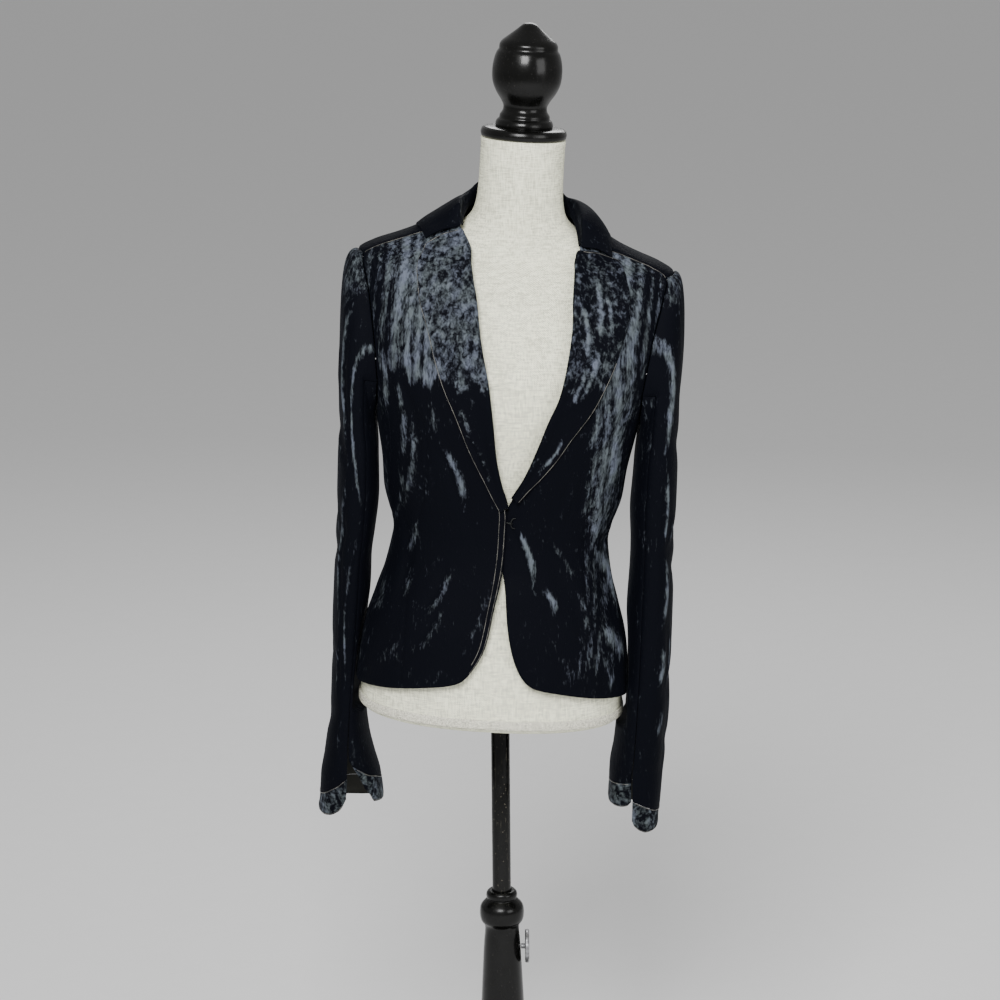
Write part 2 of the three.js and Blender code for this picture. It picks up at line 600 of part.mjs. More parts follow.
const coarse = spread(10);
const fine = [...spread(4, 0, 0.42), ...spread(GATHERS * 4, 0.42, 1).slice(1)];
const frontRows = [
  ...along(SIDE_STEPS, 0, FRONT_ARM).map((v) => ({ v, us: coarse })),
  ...along(ARM_FRONT_STEPS, FRONT_ARM, 1).slice(1, -1).map((v) => ({ v, us: v < 0.85 ? coarse : fine })),
  { v: 0.984, us: fine },
  { v: 1, us: SHOULDER_STEPS },
];
const overFront = frontPlace(OVER_EDGE, overSeams, OVER_FOLDS, false);
const underFront = frontPlace(UNDER_EDGE, underSeams, UNDER_FOLDS, true);
add(leaning, 'front_right', wall(frontRows, overFront, true), CLOTH);
add(leaning, 'front_left', wall(frontRows, underFront, false), CLOTH);

// Side panels and backs.
function sidePlace(seams) {
  const ends = [seams.sideSeam(0), seams.backSeam(0)];
  const mid = [lerp(ends[0][0], ends[1][0], 0.5), HEM_SIDE];
  const map = patch(path([ends[0], mid, ends[1]]), seams.armScoop, seams.sideSeam, seams.backSeam);
  return (across, up) => {
    const u = 0.0036 + across * 0.9928;
    const [turn, z] = map(u, up);
    const rim = smooth(0, 0.1, u) * smooth(1, 0.9, u) * smooth(0, 0.04, up);
    return onBody(turn, z, trough(u, up, SIDE_FOLDS) * rim);
  };
}
const sideUs = SCOOP_STEPS;
const sideRows = SIDE_STEPS.map((v) => ({ v, us: sideUs }));
add(leaning, 'side_right', wall(sideRows, sidePlace(overSeams), true), CLOTH);
add(leaning, 'side_left', wall(sideRows, sidePlace(underSeams), false), CLOTH);

const BACK_NOTCH = 0.5;
const BACK_TIP = 0.8;
const centreZ = column(CENTRE_BACK, 'v', 'z');
function backPlace(seams) {
  const { side } = seams;
  const outer = chain([seams.backSeam, 0, BACK_NOTCH],
    [seams.armBack, BACK_NOTCH, BACK_TIP, true], [seams.shoulder, BACK_TIP, 1, true]);
  const centre = side * (Math.PI - (SEAM * 0.6) / TURN_MM);
  const foot = outer(0);
  const left = (v) => [centre, centreZ(v)];
  const hem = [[centre, HEM_BACK], [lerp(centre, foot[0], 0.5), HEM_SIDE + 3], foot];
  const top = [
    [centre, BACK_NECK_Z], [lerp(centre, seams.neck[0], 0.3), BACK_NECK_Z - 3],
    [lerp(centre, seams.neck[0], 0.62), BACK_NECK_Z - 9], seams.neck];
  const map = patch(path(hem), path(top), left, outer);
  return (across, up) => {
    const u = across * (0.9976 - 0.0012 * smooth(0.78, 0.84, up));
    const [turn, z] = map(u, up);
    const rim = smooth(0, 0.06, u) * smooth(1, 0.94, u) * smooth(0, 0.04, up);
    return onBody(turn, z, trough(u, up, BACK_FOLDS) * rim);
  };
}

const backUs = spread(8);
const backRows = [
  ...along(SIDE_STEPS, 0, BACK_NOTCH), ...along(ARM_BACK_STEPS, BACK_NOTCH, BACK_TIP).slice(1),
  ...along(SHOULDER_STEPS, BACK_TIP, 1).slice(1)].map((v) => ({ v, us: backUs }));
add(leaning, 'back_right', wall(backRows, backPlace(overSeams), false), CLOTH);
add(leaning, 'back_left', wall(backRows, backPlace(underSeams), true), CLOTH);

// Lapels.
function lapelPlace(roll, edge, gorge, side) {
  const inner = outPoints(roll, side);
  const outer = outPoints(edge, side);
  const top = [inner[inner.length - 1], ...outPoints(gorge, side), outer[outer.length - 1]];
  const bottom = [inner[0], outer[0]];
  const mid = bottom[0].map((value, k) => (value + bottom[1][k]) / 2);
  const map = patch(path([bottom[0], mid, bottom[1]]), path(top), path(inner), path(outer));
  return (u, v) => {
    // the first tenth turns in over the roll line
    const reach = Math.max((u - 0.1) / 0.9, 0);
    const [turn, z] = map(reach, v);
    const turnIn = Math.min(u / 0.1, 1);
    const soft = 1.6 * smooth(0.34, 0, reach) * smooth(0, 0.15, v);
    const lift = LAP + WALL + soft;
    if (turnIn >= 1) return onBody(turn, z, lift);
    const over = (1 - turnIn) * (Math.PI / 2);
    const aside = side * ((2.6 * Math.sin(over)) / TURN_MM);
    return onBody(turn - aside, z, lift - 3.4 * (1 - Math.cos(over)));
  };
}

const lapelUs = [0, 0.05, 0.1, 0.2, 0.34, 0.5, 0.66, 0.83, 1];
const lapelRows = [...spread(9, 0, 0.6), ...spread(9, 0.6, 1).slice(1)].map((v) => ({ v, us: lapelUs }));
const OVER_GORGE = [{ out: 82, z: 556 }];
const UNDER_GORGE = [{ out: 88, z: 544.5 }];
const overLapel = lapelPlace(OVER_ROLL, OVER_LAPEL, OVER_GORGE, -1);
const underLapel = lapelPlace(UNDER_ROLL, UNDER_LAPEL, UNDER_GORGE, 1);
add(leaning, 'lapel_right', wall(lapelRows, overLapel, true), CLOTH);
add(leaning, 'lapel_left', wall(lapelRows, underLapel, false), CLOTH);

// Collar.
const COLLAR_WALL = 1.7;
const crest = new THREE.CatmullRomCurve3(
  COLLAR.map((row) => new THREE.Vector3(row.cx, row.cy, row.cz)), false, 'centripetal');
const fallEdge = new THREE.CatmullRomCurve3(
  COLLAR.map((row) => onBody(THREE.MathUtils.degToRad(row.turn), row.ez, LAP + COLLAR_WALL + 0.4)),
  false, 'centripetal');
const standDepth = column(COLLAR.map((row, i) => ({ i, stand: row.stand })), 'i', 'stand');

// Raises a point until it lies the given height over the body's outer face.
function clearOfBody(p, room) {
  for (let k = 0; k < 60; k += 1) {
    const z = p.z - room;
    if (z > 590 || Math.abs(p.x) > body.widthAt(p.y, z) + 0.01) break;
    p.z += 0.25;
  }
  return p;
}

function collarPlace(u, v) {
  const edge = fallEdge.getPoint(u);
  const top = crest.getPoint(u);
  const stand = standDepth(u * (COLLAR.length - 1));
  const inward = new THREE.Vector3(-top.x, 12 - top.y, 0).normalize();
  const drop = top.z - edge.z;
  const half = edge.clone().lerp(top, 0.52).addScaledVector(inward, -0.07 * drop);
  half.z += 0.5;
  clearOfBody(half, LAP + COLLAR_WALL + 1.2);
  const shoulder = top.clone().addScaledVector(inward, -1.6).add(new THREE.Vector3(0, 0, -3.5));
  clearOfBody(shoulder, LAP + COLLAR_WALL + 1.2);
  const ridge = top.clone().addScaledVector(inward, 1.6);
  const inside = top.clone().addScaledVector(inward, 4.4).add(new THREE.Vector3(0, 0, -2.2));
  const root = top.clone().addScaledVector(inward, 5.0).add(new THREE.Vector3(0, 0, -2.6 - stand));
  const section = new THREE.CatmullRomCurve3([edge, half, shoulder, ridge, inside, root], false,
    'centripetal');
  return section.getPoint(v);
}

const collarUs = spread(28);
const collarRows = [0, 0.1, 0.2, 0.31, 0.42, 0.52, 0.6, 0.68, 0.78, 1]
  .map((v) => ({ v, us: collarUs }));
add(leaning, 'collar', wall(collarRows, collarPlace, false, COLLAR_WALL), CLOTH);

// Sleeves.
function sleeveShape(table, side) {
  const out = column(table, 'z', 'out');
  const inn = column(table, 'z', 'inn');
  const mid = column(table, 'z', 'mid');
  const deep = column(table, 'z', 'deep');
  // turn 0 faces the front, 90 degrees faces outward, -90 faces the body
  return (turn, z) => {
    const s = Math.sin(turn);
    const c = Math.cos(turn);
    const wide = (out(z) - inn(z)) / 2;
    const y = mid(z) - deep(z) * Math.sign(c) * Math.abs(c) ** (2 / 2.4);
    let x = (out(z) + inn(z)) / 2 + wide * Math.sign(s) * Math.abs(s) ** (2 / 2.4);
    for (const f of SLEEVE_FOLDS) {
      const gap = (z - f.z - f.rise * Math.cos(turn)) / f.wide;
      x -= f.deep * Math.exp(-gap * gap) * Math.max(s, 0);
    }
    const hug = z > -30 ? body.widthAt(y, Math.max(z, 12)) + 2.6 : 0;
    const reach = softMax(x, hug * smooth(-30, -5, z), 3);
    return new THREE.Vector3(side * reach, y, z);
  };
}

const FRONT_SEAM = THREE.MathUtils.degToRad(-22);   // where the sleeve's front seam starts at the top
const BACK_SEAM = THREE.MathUtils.degToRad(202);
const CAP_Z = 388;
const HEAD = 0.34;                // share of the upper sleeve's top that meets the front
const UPPER_TUBE = 0.74;
const UNDER_TUBE = 0.86;
const BACK_W = 0.6;               // the back seam's place on the way round
const SEAM_W = 0.005;

// The sleeve's surface by the way round from the front seam outward, with the vent that opens
// that seam above the cuff.
function sleeveRound(spec) {
  const tube = sleeveShape(spec.table, spec.seams.side);
  const low = THREE.MathUtils.degToRad(spec.seamTurn);
  return (w, z) => {
    const start = lerp(low, FRONT_SEAM, smooth(-97, 160, z));
    const turn = w < BACK_W ? lerp(start, BACK_SEAM, w / BACK_W)
      : lerp(BACK_SEAM, start + 2 * Math.PI, (w - BACK_W) / (1 - BACK_W));
    const drop = Math.min(Math.max((spec.vent - z) / 44, 0), 1);
    const part = Math.min(drop * 2.2, 1);
    const lead = smooth(0.05, 0, w);
    const trail = smooth(0.86, 1, w);
    const p = tube(turn + 0.05 * lead * drop - spec.open * trail * drop, z);
    p.y += 6.5 * trail * part - 2.5 * lead * part;
    return p;
  };
}

// Upper sleeve: tube sections up to the armpit, then curves over to the armhole.
function upperPlace(spec) {
  const { side, armFront, armBack } = spec.seams;
  const round = sleeveRound(spec);
  const cuffTop = column(spec.cuff, 'w', 'top');
  const rim = chain([armFront, 0, HEAD], [armBack, HEAD, 1]);
  return (u, v) => {
    const w = u * BACK_W;
    if (v <= UPPER_TUBE) return round(w, lerp(cuffTop(w) + SEAM, CAP_Z, v / UPPER_TUBE));
    const t = (v - UPPER_TUBE) / (1 - UPPER_TUBE);
    const foot = round(w, CAP_Z);
    const edge = onBody(...rim(u), 0);
    edge.x += side * 0.75;
    edge.z += 0.3 * Math.sin(Math.PI * u);
    const rise = Math.max(edge.z - CAP_Z, 0);
    const outward = Math.sin(Math.PI * u) ** 0.6;
    const c1 = foot.clone().add(new THREE.Vector3(side * 1.5 * outward, 0, 1 + rise * 0.62));
    const bulge = lerp(17, spec.head, outward ** 2) * outward;
    const lead = new THREE.Vector3(side * (4 + bulge), 0, 1.5 * outward);
    const flare = (u - 0.5) * 9 * outward;
    const c2 = edge.clone().add(lead).add(new THREE.Vector3(0, flare, 0));
    const p = new THREE.CubicBezierCurve3(foot, c1, c2, edge).getPoint(t);
    const gather = smooth(0.35, 0.9, t) * smooth(0.3, 0.4, u) * smooth(0.72, 0.62, u);
    const wave = 0.5 - 0.5 * Math.cos(((u - 0.3) / 0.42) * 2 * Math.PI * HEAD_GATHERS);
    p.z -= 1.5 * gather * wave * smooth(1.0, 0.94, t);
    return p;
  };
}

// Under sleeve: the inner side of the tube, up to the scoop under the arm.
const underW = (u) => lerp(1 - SEAM_W, BACK_W + SEAM_W, u);
function underPlace(spec) {
  const { side, armScoop } = spec.seams;
  const round = sleeveRound(spec);
  const cuffTop = column(spec.cuff, 'w', 'top');
  return (u, v) => {
    const w = underW(u);
    const edge = onBody(...armScoop(u), 0);
    const ends = Math.abs(2 * u - 1);
    edge.x += side * 1.0;
    edge.z -= 0.3 + 0.7 * ends ** 4;
    const z0 = cuffTop(w) + SEAM;
    const z1 = lerp(edge.z - 22, CAP_Z, ends ** 6);
    if (v <= UNDER_TUBE) return round(w, lerp(z0, z1, v / UNDER_TUBE));
    const t = (v - UNDER_TUBE) / (1 - UNDER_TUBE);
    const foot = round(w, z1);
    const rise = edge.z - z1;
    const c1 = foot.clone().add(new THREE.Vector3(0, 0, rise * 0.5));
    const c2 = edge.clone().add(new THREE.Vector3(side * 1.2, 0, -rise * 0.3));
    return new THREE.CubicBezierCurve3(foot, c1, c2, edge).getPoint(t);
  };
}

const rimUs = [...along(ARM_FRONT_STEPS, 0, HEAD), ...along(ARM_BACK_STEPS, HEAD, 1).slice(1)];
const headUs = [...spread(4, 0, 0.3), ...spread(HEAD_GATHERS * 3, 0.3, 0.72).slice(1),
  ...spread(4, 0.72, 1).slice(1)];
const upperUs = [0, 0.04, ...spread(10, 0.1, 1)];
const upperRows = [
  ...along(TUBE_STEPS, 0, UPPER_TUBE).map((v) => ({ v, us: upperUs })),
  ...[0.8, 0.86].map((v) => ({ v, us: upperUs })),
  ...[0.91, 0.95, 0.98].map((v) => ({ v, us: headUs })),
  { v: 1, us: rimUs },
];
const underRows = [...along(TUBE_STEPS, 0, UNDER_TUBE), 0.93, 1].map((v) => ({ v, us: SCOOP_STEPS }));

// Cuff: one band from vent to vent, with round corners in its low edge.
const CUFF_SPAN = 0.994;
function cuffPlace(spec) {
  const round = sleeveRound(spec);
  const top = column(spec.cuff, 'w', 'top');
  const low = column(spec.cuff, 'w', 'low');
  const { side } = spec.seams;
  return (u, v) => {
    const w = u * CUFF_SPAN;
    const z = lerp(low(w), top(w) - SEAM, v);
    const p = round(w, z);
    const swell = 1 + 0.02 * (1 - v);
    p.x = side * (160 + (side * p.x - 160) * swell);
    return p;
  };
}

const cuffUs = [0, 0.012, 0.03, 0.055, ...spread(20, 0.09, 0.93), 0.955, 0.975, 0.99, 1];
const cuffTopUs = [...upperUs.map((u) => (u * BACK_W) / CUFF_SPAN),
  ...SCOOP_STEPS.map((u) => underW(1 - u) / CUFF_SPAN).filter((u) => u < 0.999), 1];
const cuffRows = [{ v: 0, us: cuffUs }, { v: 0.4, us: cuffUs }, { v: 1, us: cuffTopUs }];

const sleeves = [
  { name: 'right', table: SLEEVE_OVER, cuff: CUFF_OVER, seams: overSeams, flip: true,
    seamTurn: 1, vent: -66, open: 0.5, head: 17 },
  { name: 'left', table: SLEEVE_UNDER, cuff: CUFF_UNDER, seams: underSeams, flip: false,
    seamTurn: -9, vent: -58, open: -0.06, head: 10 },
];
for (const spec of sleeves) {
  add(leaning, `sleeve_upper_${spec.name}`, wall(upperRows, upperPlace(spec), spec.flip), CLOTH);
  add(leaning, `sleeve_under_${spec.name}`, wall(underRows, underPlace(spec), !spec.flip), CLOTH);
  add(leaning, `cuff_${spec.name}`, wall(cuffRows, cuffPlace(spec), spec.flip), CUFF_CLOTH);
}

// Hook and bar at the break.
const CLOSE_Z = 243;
const BAR_X = 9.5;
const WIRE_R = 0.5;
function wireTube(points, steps) {
  const corners = spread(5, 0, 5 / 6).map((t) => new THREE.Vector2(
    WIRE_R * Math.cos(2 * Math.PI * t), WIRE_R * Math.sin(2 * Math.PI * t)));
  const curve = new THREE.CatmullRomCurve3(points, false, 'centripetal');
  return new THREE.ExtrudeGeometry(new THREE.Shape(corners), { extrudePath: curve, steps });
}
const frontAt = (x, lift, z) => onBody(body.turnAtX(x, z), z, lift);
const hookPath = [
  frontAt(-5, -2.98, CLOSE_Z), frontAt(0, -2.98, CLOSE_Z), frontAt(5, -2.98, CLOSE_Z),
  frontAt(BAR_X, -2.98, CLOSE_Z), frontAt(BAR_X + 1.35, -1.6, CLOSE_Z),
  frontAt(BAR_X, -0.22, CLOSE_Z), frontAt(BAR_X - 3.2, 0.1, CLOSE_Z + 0.6)];
const barPath = [
  frontAt(BAR_X + 4.6, -2.4, CLOSE_Z + 6), frontAt(BAR_X + 1.8, -2.0, CLOSE_Z + 5.4),
  frontAt(BAR_X, -1.6, CLOSE_Z + 2.6), frontAt(BAR_X, -1.6, CLOSE_Z - 2.6),
  frontAt(BAR_X + 1.8, -2.0, CLOSE_Z - 5.4), frontAt(BAR_X + 4.6, -2.4, CLOSE_Z - 6)];
add(leaning, 'hook', wireTube(hookPath, 12), STEEL);
add(leaning, 'hook_bar', wireTube(barPath, 10), STEEL);

// Form.
const torso = sections(TORSO);
const RING = 32;
const torsoHeights = [-4, -1.5, 4, 30, 75, 120, 160, 205, 250, 300, 350, 395, 435, 475, 503, 520, 528,
  533.8, 538.6, 543.8, 548.3, 553, 557.5, 562, 567, 572, 584, 604, 662];
const torsoRings = torsoHeights.map((z) => spread(RING - 1, 0, 1 - 1 / RING)
  .map((t) => torso.at(t * 2 * Math.PI, z)));
add(leaning, 'form_torso', skin(torsoRings), LINEN);

// A braided band round the foot of the torso, 0.3 mm off the linen.
const BAND_LOW = 2;
const BAND_HIGH = 13;
const bandSection = [
  { z: BAND_LOW, off: SEAM }, { z: BAND_LOW, off: 1.5 }, { z: (BAND_LOW + BAND_HIGH) / 2, off: 2.1 },
  { z: BAND_HIGH, off: 1.5 }, { z: BAND_HIGH, off: SEAM }];
function ringBand(section, sides) {
  const points = [];
  for (let k = 0; k < sides; k += 1) {
    const turn = (k / sides) * 2 * Math.PI;
    for (const row of section) {
      const p = torso.at(turn, Math.max(row.z, 4));
      p.z = row.z;
      const grow = row.off + 0.15;
      const flat = new THREE.Vector2(p.x, p.y);
      flat.setLength(flat.length() + grow);
      points.push(new THREE.Vector3(flat.x, flat.y, p.z));
    }
  }
  const m = section.length;
  const index = [];
  for (let k = 0; k < sides; k += 1) {
    const next = (k + 1) % sides;
    for (let j = 0; j < m; j += 1) {
      const up = (j + 1) % m;
      index.push(k * m + j, next * m + j, next * m + up);
      index.push(k * m + j, next * m + up, k * m + up);
    }
  }
  const geometry = new THREE.BufferGeometry();
  const numbers = points.flatMap((p) => [p.x, p.y, p.z]);
  geometry.setAttribute('position', new THREE.Float32BufferAttribute(numbers, 3));
  geometry.setIndex(index);
  return geometry;
}
add(leaning, 'form_braid', ringBand(bandSection, RING), BRAID);

const CAP = [
  { r: 0, z: 662.3 }, { r: 45, z: 662.3 }, { r: 47.6, z: 664 }, { r: 48.4, z: 668 }, { r: 47.4, z: 672 },
  { r: 44, z: 674 }, { r: 0, z: 674 }];
const FINIAL = [
  { r: 0, z: 674.3 }, { r: 32, z: 674.3 }, { r: 32.4, z: 678 }, { r: 31, z: 682 }, { r: 28.5, z: 684.5 },
  { r: 28, z: 688 }, { r: 25, z: 693 }, { r: 24.6, z: 698 }, { r: 27.5, z: 704 }, { r: 33.5, z: 713 },
  { r: 37.8, z: 723 }, { r: 39.2, z: 734 }, { r: 38.4, z: 746 }, { r: 35.5, z: 757 }, { r: 33, z: 761 },
  { r: 32.6, z: 766 }, { r: 30, z: 770 }, { r: 24, z: 775 }, { r: 14, z: 783 }, { r: 6.5, z: 789 },
  { r: 0, z: 790.5 }];
const capMesh = add(leaning, 'neck_cap', turned(CAP, 24), BLACK_WOOD);
const finialMesh = add(leaning, 'finial', turned(FINIAL, 20), BLACK_WOOD);
capMesh.position.y = 2;
finialMesh.position.y = 2;

// Stand.
const POLE = [
  { r: 0, z: POLE_FOOT }, { r: POLE_R - 1, z: POLE_FOOT }, { r: POLE_R, z: POLE_FOOT + 1 },
  { r: POLE_R, z: POLE_TOP }, { r: 0, z: POLE_TOP }];
const COLUMN = [
  { r: BORE_R, z: 60 }, { r: 0, z: 60 }, { r: 0, z: BASE_H + SEAM }, { r: 44, z: BASE_H + SEAM },
  { r: 43, z: 34 }, { r: 36, z: 42 }, { r: 33.5, z: 60 }, { r: 31.5, z: 120 }, { r: 28.5, z: 200 },
  { r: 25.4, z: 270 }, { r: 21.8, z: 340 }, { r: 20.4, z: 362 }, { r: 21.6, z: 366 }, { r: 25.0, z: 371 },
  { r: 26.4, z: 380 }, { r: 25.0, z: 389 }, { r: 20.0, z: 395 }, { r: 17.0, z: 397.5 }, { r: 18.2, z: 400 },
  { r: 18.0, z: 405 }, { r: 15.5, z: 408 }, { r: BORE_R, z: 408 }, { r: BORE_R, z: 60 }];
const BASE = [
  { r: 0, z: 0 }, { r: BASE_R - 4, z: 0 }, { r: BASE_R, z: 5 }, { r: BASE_R, z: 14 },
  { r: BASE_R - 4, z: 19 }, { r: BASE_R - 16, z: 22 }, { r: 70, z: 26.5 }, { r: 52, z: BASE_H },
  { r: 0, z: BASE_H }];
add(group, 'pole', turned(POLE, 20), BLACK_METAL);
add(group, 'column', turned(COLUMN, 20), BLACK_WOOD);
add(group, 'base', turned(BASE, 36), BLACK_WOOD);

const SCREW_Z = 336;
const SCREW = [
  { r: 0, z: 22.6 }, { r: 3.2, z: 22.6 }, { r: 3.2, z: 27.2 }, { r: 19, z: 27.2 }, { r: 20, z: 28.2 },
  { r: 20, z: 31.2 }, { r: 19, z: 32.2 }, { r: 0, z: 32.2 }];
const screwGeometry = turned(SCREW, 16).rotateY(Math.PI / 2);
const screw = add(group, 'hand_screw', screwGeometry, STEEL);
screw.position.z = SCREW_Z;

export default group;
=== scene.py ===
"""A fitted velvet blazer on a limbless linen dress form with a turned pole stand.

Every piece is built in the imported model's frame, in metres. The cloth follows the same named
tables as the solids, in millimetres: z is height above the form's foot, side, front and back are
the reach of a section, out is reach from the centre front.
"""

import math

import bmesh
import bpy
import numpy as np
from mathutils import Matrix, Vector


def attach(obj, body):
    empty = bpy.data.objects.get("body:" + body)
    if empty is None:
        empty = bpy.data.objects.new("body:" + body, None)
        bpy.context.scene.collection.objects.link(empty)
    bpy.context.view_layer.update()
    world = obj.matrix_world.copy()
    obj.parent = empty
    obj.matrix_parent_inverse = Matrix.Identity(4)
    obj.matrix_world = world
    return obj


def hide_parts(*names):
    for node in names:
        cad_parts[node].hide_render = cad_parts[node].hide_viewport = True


bl_info = {
    "name": "Velvet Blazer on a Dress Form",
    "version": (1, 0, 0),
    "blender": (4, 5, 0),
    "location": "View3D > Sidebar > Blazer",
    "description": "Builds a velvet blazer, the dress form that wears it and its stand",
    "category": "Object",
}

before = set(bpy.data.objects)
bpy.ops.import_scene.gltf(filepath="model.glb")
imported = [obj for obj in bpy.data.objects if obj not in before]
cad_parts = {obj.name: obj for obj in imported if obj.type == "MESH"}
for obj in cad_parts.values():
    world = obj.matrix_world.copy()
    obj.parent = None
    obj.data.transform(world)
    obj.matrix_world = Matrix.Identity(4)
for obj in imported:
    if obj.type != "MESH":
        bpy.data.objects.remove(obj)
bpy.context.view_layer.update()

MM = 0.001
WALL = 2.0
LAP = 0.9
COLLAR_WALL = 1.7
LEAN = math.radians(3.7)
FORM_FOOT = (-11.0, 0.0, 640.0)
ROUND = 2.3
SAG = 7.0
TURN_MM = 135.0
UNDERLAP = 4.5
SEAM = 0.3
GATHERS = 8
GATHER_DEPTH = 1.7
HEAD_GATHERS = 6
FRONT_ARM = 0.62
BACK_NOTCH = 0.5
BACK_TIP = 0.8
FRONT_SEAM = math.radians(-22)
BACK_SEAM = math.radians(202)
CAP_Z = 388.0
HEAD = 0.34
UPPER_TUBE = 0.74
UNDER_TUBE = 0.86
BACK_W = 0.6
SEAM_W = 0.005
CUFF_SPAN = 0.994


def table(names, *rows):
    """Columns of a table by name, each an array."""
    return {name: np.array([row[i] for row in rows], float) for i, name in enumerate(names.split())}


JACKET = table(
    "z side front back",
    (10, 161.0, 121, 124), (45, 159.0, 120, 123), (75, 155.5, 118, 120), (107, 149.5, 115, 114),
    (130, 143.0, 111, 109), (160, 134.0, 106, 101), (190, 127.0, 102, 94), (210, 125.5, 101, 92),
    (235, 130.5, 103, 92), (262, 137.5, 107, 94), (300, 142.5, 115, 98), (350, 151.5, 124, 104),
    (392, 163.0, 127, 108), (430, 171.0, 122, 111), (476, 176.5, 110, 110), (503, 179.0, 98, 106),
    (519, 181.0, 88, 100), (528, 179.0, 80, 95), (537, 165.0, 71, 89), (547, 139.0, 62, 82),
    (556, 118.0, 56, 76), (566, 101.0, 52, 71), (576, 88.0, 50, 68), (592, 78.0, 49, 66),
)
TORSO = table(
    "z side front back",
    (-4, 144.0, 99, 101), (-1.5, 149.5, 104, 106), (4, 152.5, 107, 109), (20, 153.0, 108, 111),
    (60, 150.0, 108, 113), (100, 142.0, 104, 106), (150, 127.0, 96, 93), (205, 116.5, 89, 82),
    (255, 123.0, 94, 83), (310, 132.0, 105, 88), (365, 139.0, 116, 93), (400, 143.0, 117, 96),
    (440, 148.0, 109, 99), (480, 155.0, 95, 98), (505, 161.0, 84, 94), (520, 164.5, 74, 88),
    (528, 164.5, 64, 82), (533.8, 161.0, 58, 77), (538.6, 151.5, 57, 74), (543.8, 138.0, 54, 71),
    (548.3, 126.0, 50, 67), (553, 112.0, 48, 64), (557.5, 94.0, 46, 60), (562, 76.0, 45, 57),
    (567, 64.0, 44.5, 55), (572, 57.0, 44, 53.5), (583, 51.0, 43.5, 52), (600, 48.2, 43.5, 51),
    (625, 47.3, 44.5, 50), (650, 47.2, 45, 50), (662, 47.6, 45.5, 50),
)
OVER_EDGE = table(
    "out z",
    (56.0, 51.8), (40.0, 57.2), (30.9, 65.0), (21.5, 78.4), (13.4, 95.2), (8.8, 113.1), (4.2, 142.4),
    (-1.0, 170.0), (-3.8, 205.0), (-4.0, 235.0), (-3.6, 254.0), (1.5, 272.0), (8.0, 293.0),
    (14.7, 322.0), (20.5, 361.0), (28.2, 405.5), (38.8, 450.0), (48.5, 505.0), (55.0, 545.0),
    (66.0, 569.8),
)
UNDER_EDGE = table(
    "out z",
    (60.0, 51.5), (43.5, 56.5), (32.2, 66.5), (22.6, 83.7), (15.8, 105.6), (11.2, 130.0), (6.8, 168.0),
    (1.5, 192.0), (-3.4, 216.0), (-3.0, 240.0), (4.5, 259.0), (12.3, 277.0), (24.3, 300.5),
    (36.7, 335.5), (46.1, 364.4), (57.0, 393.4), (63.0, 425.0), (67.0, 467.0), (66.0, 500.0),
    (66.0, 531.0), (69.0, 553.8),
)
OVER_SHOULDER = table("out z", (66.0, 569.8), (92.0, 562.3), (118.0, 551.6), (145.0, 541.6), (171.0, 528.6))
UNDER_SHOULDER = table("out z", (69.0, 553.8), (90.0, 550.8), (112.0, 544.5), (140.0, 534.5), (168.0, 519.5))
FRONT_HEM = table("reach z", (0.0, 0), (0.45, -2.5), (1.0, 0))
HEM_SIDE = 31.0
HEM_BACK = 34.0
SIDE_SEAM = table("y z", (-34, 31), (-30, 110), (-26, 200), (-38, 258), (-60, 318), (-66, 360), (-61, 388))
BACK_SEAM_LINE = table("y z", (58, 33), (52, 110), (44, 200), (49, 270), (57, 335), (62, 392))
ARM_FRONT = table("y z", (-61, 388), (-64, 425), (-57, 465), (-48, 492))
ARM_BACK = table("y z", (0, 528.6), (24, 521), (46, 502), (61, 470), (67, 430), (62, 392))
ARM_SCOOP = table("y z", (-61, 388), (-42, 359), (-14, 346), (16, 345), (44, 359), (62, 392))
CENTRE_BACK = table("v z", (0, 34), (0.5, 400), (0.62, 458), (0.72, 520), (0.8, 555), (1, 588))
BACK_NECK_Z = 588.0
OVER_LAPEL = table(
    "out z",
    (3.5, 257.0), (20.7, 287.7), (43.0, 330.0), (63.1, 374.2), (78.1, 407.2), (95.2, 460.0),
    (105.3, 488.5), (109.6, 516.0), (106.0, 534.0), (101.0, 544.5),
)
UNDER_LAPEL = table(
    "out z",
    (14.5, 268.0), (26.2, 284.0), (39.9, 300.0), (55.3, 321.0), (68.5, 343.0), (78.7, 358.0),
    (91.9, 378.3), (109.4, 416.5), (119.0, 446.3), (125.4, 474.6), (126.2, 500.0), (121.0, 522.0),
    (110.5, 537.5),
)
OVER_ROLL = table(
    "out z",
    (-1.8, 262.0), (8.0, 293.0), (14.7, 322.0), (20.5, 361.0), (28.2, 405.5), (38.8, 450.0),
    (48.5, 505.0), (54.0, 541.0), (63.0, 562.5),
)
UNDER_ROLL = table(
    "out z",
    (11.0, 274.0), (24.3, 300.5), (36.7, 335.5), (46.1, 364.4), (57.0, 393.4), (63.0, 425.0),
    (67.0, 467.0), (66.0, 500.0), (66.0, 531.0), (67.5, 546.0),
)
OVER_GORGE = table("out z", (82, 556))
UNDER_GORGE = table("out z", (88, 544.5))
COLLAR = table(
    "turn ez cx cy cz stand",
    (-47.5, 549, -66, -45, 571, 1.5), (-66, 556.5, -66, -29, 578, 2), (-90, 558, -64, -8, 584, 4),
    (-114, 560, -60, 18, 593.5, 10), (-138, 565, -49, 43, 605.5, 22), (-160, 569, -28, 60, 614, 26),
    (-180, 571, 0, 66, 615, 27), (-200, 571, 28, 60, 610, 25), (-222, 570, 49, 43, 599, 20),
    (-246, 567, 60, 18, 586, 7), (-270, 565, 66, -8, 577, 2), (-292, 560, 69, -32, 568, 1.5),
    (-315, 545.5, 71, -53, 555, 1),
)
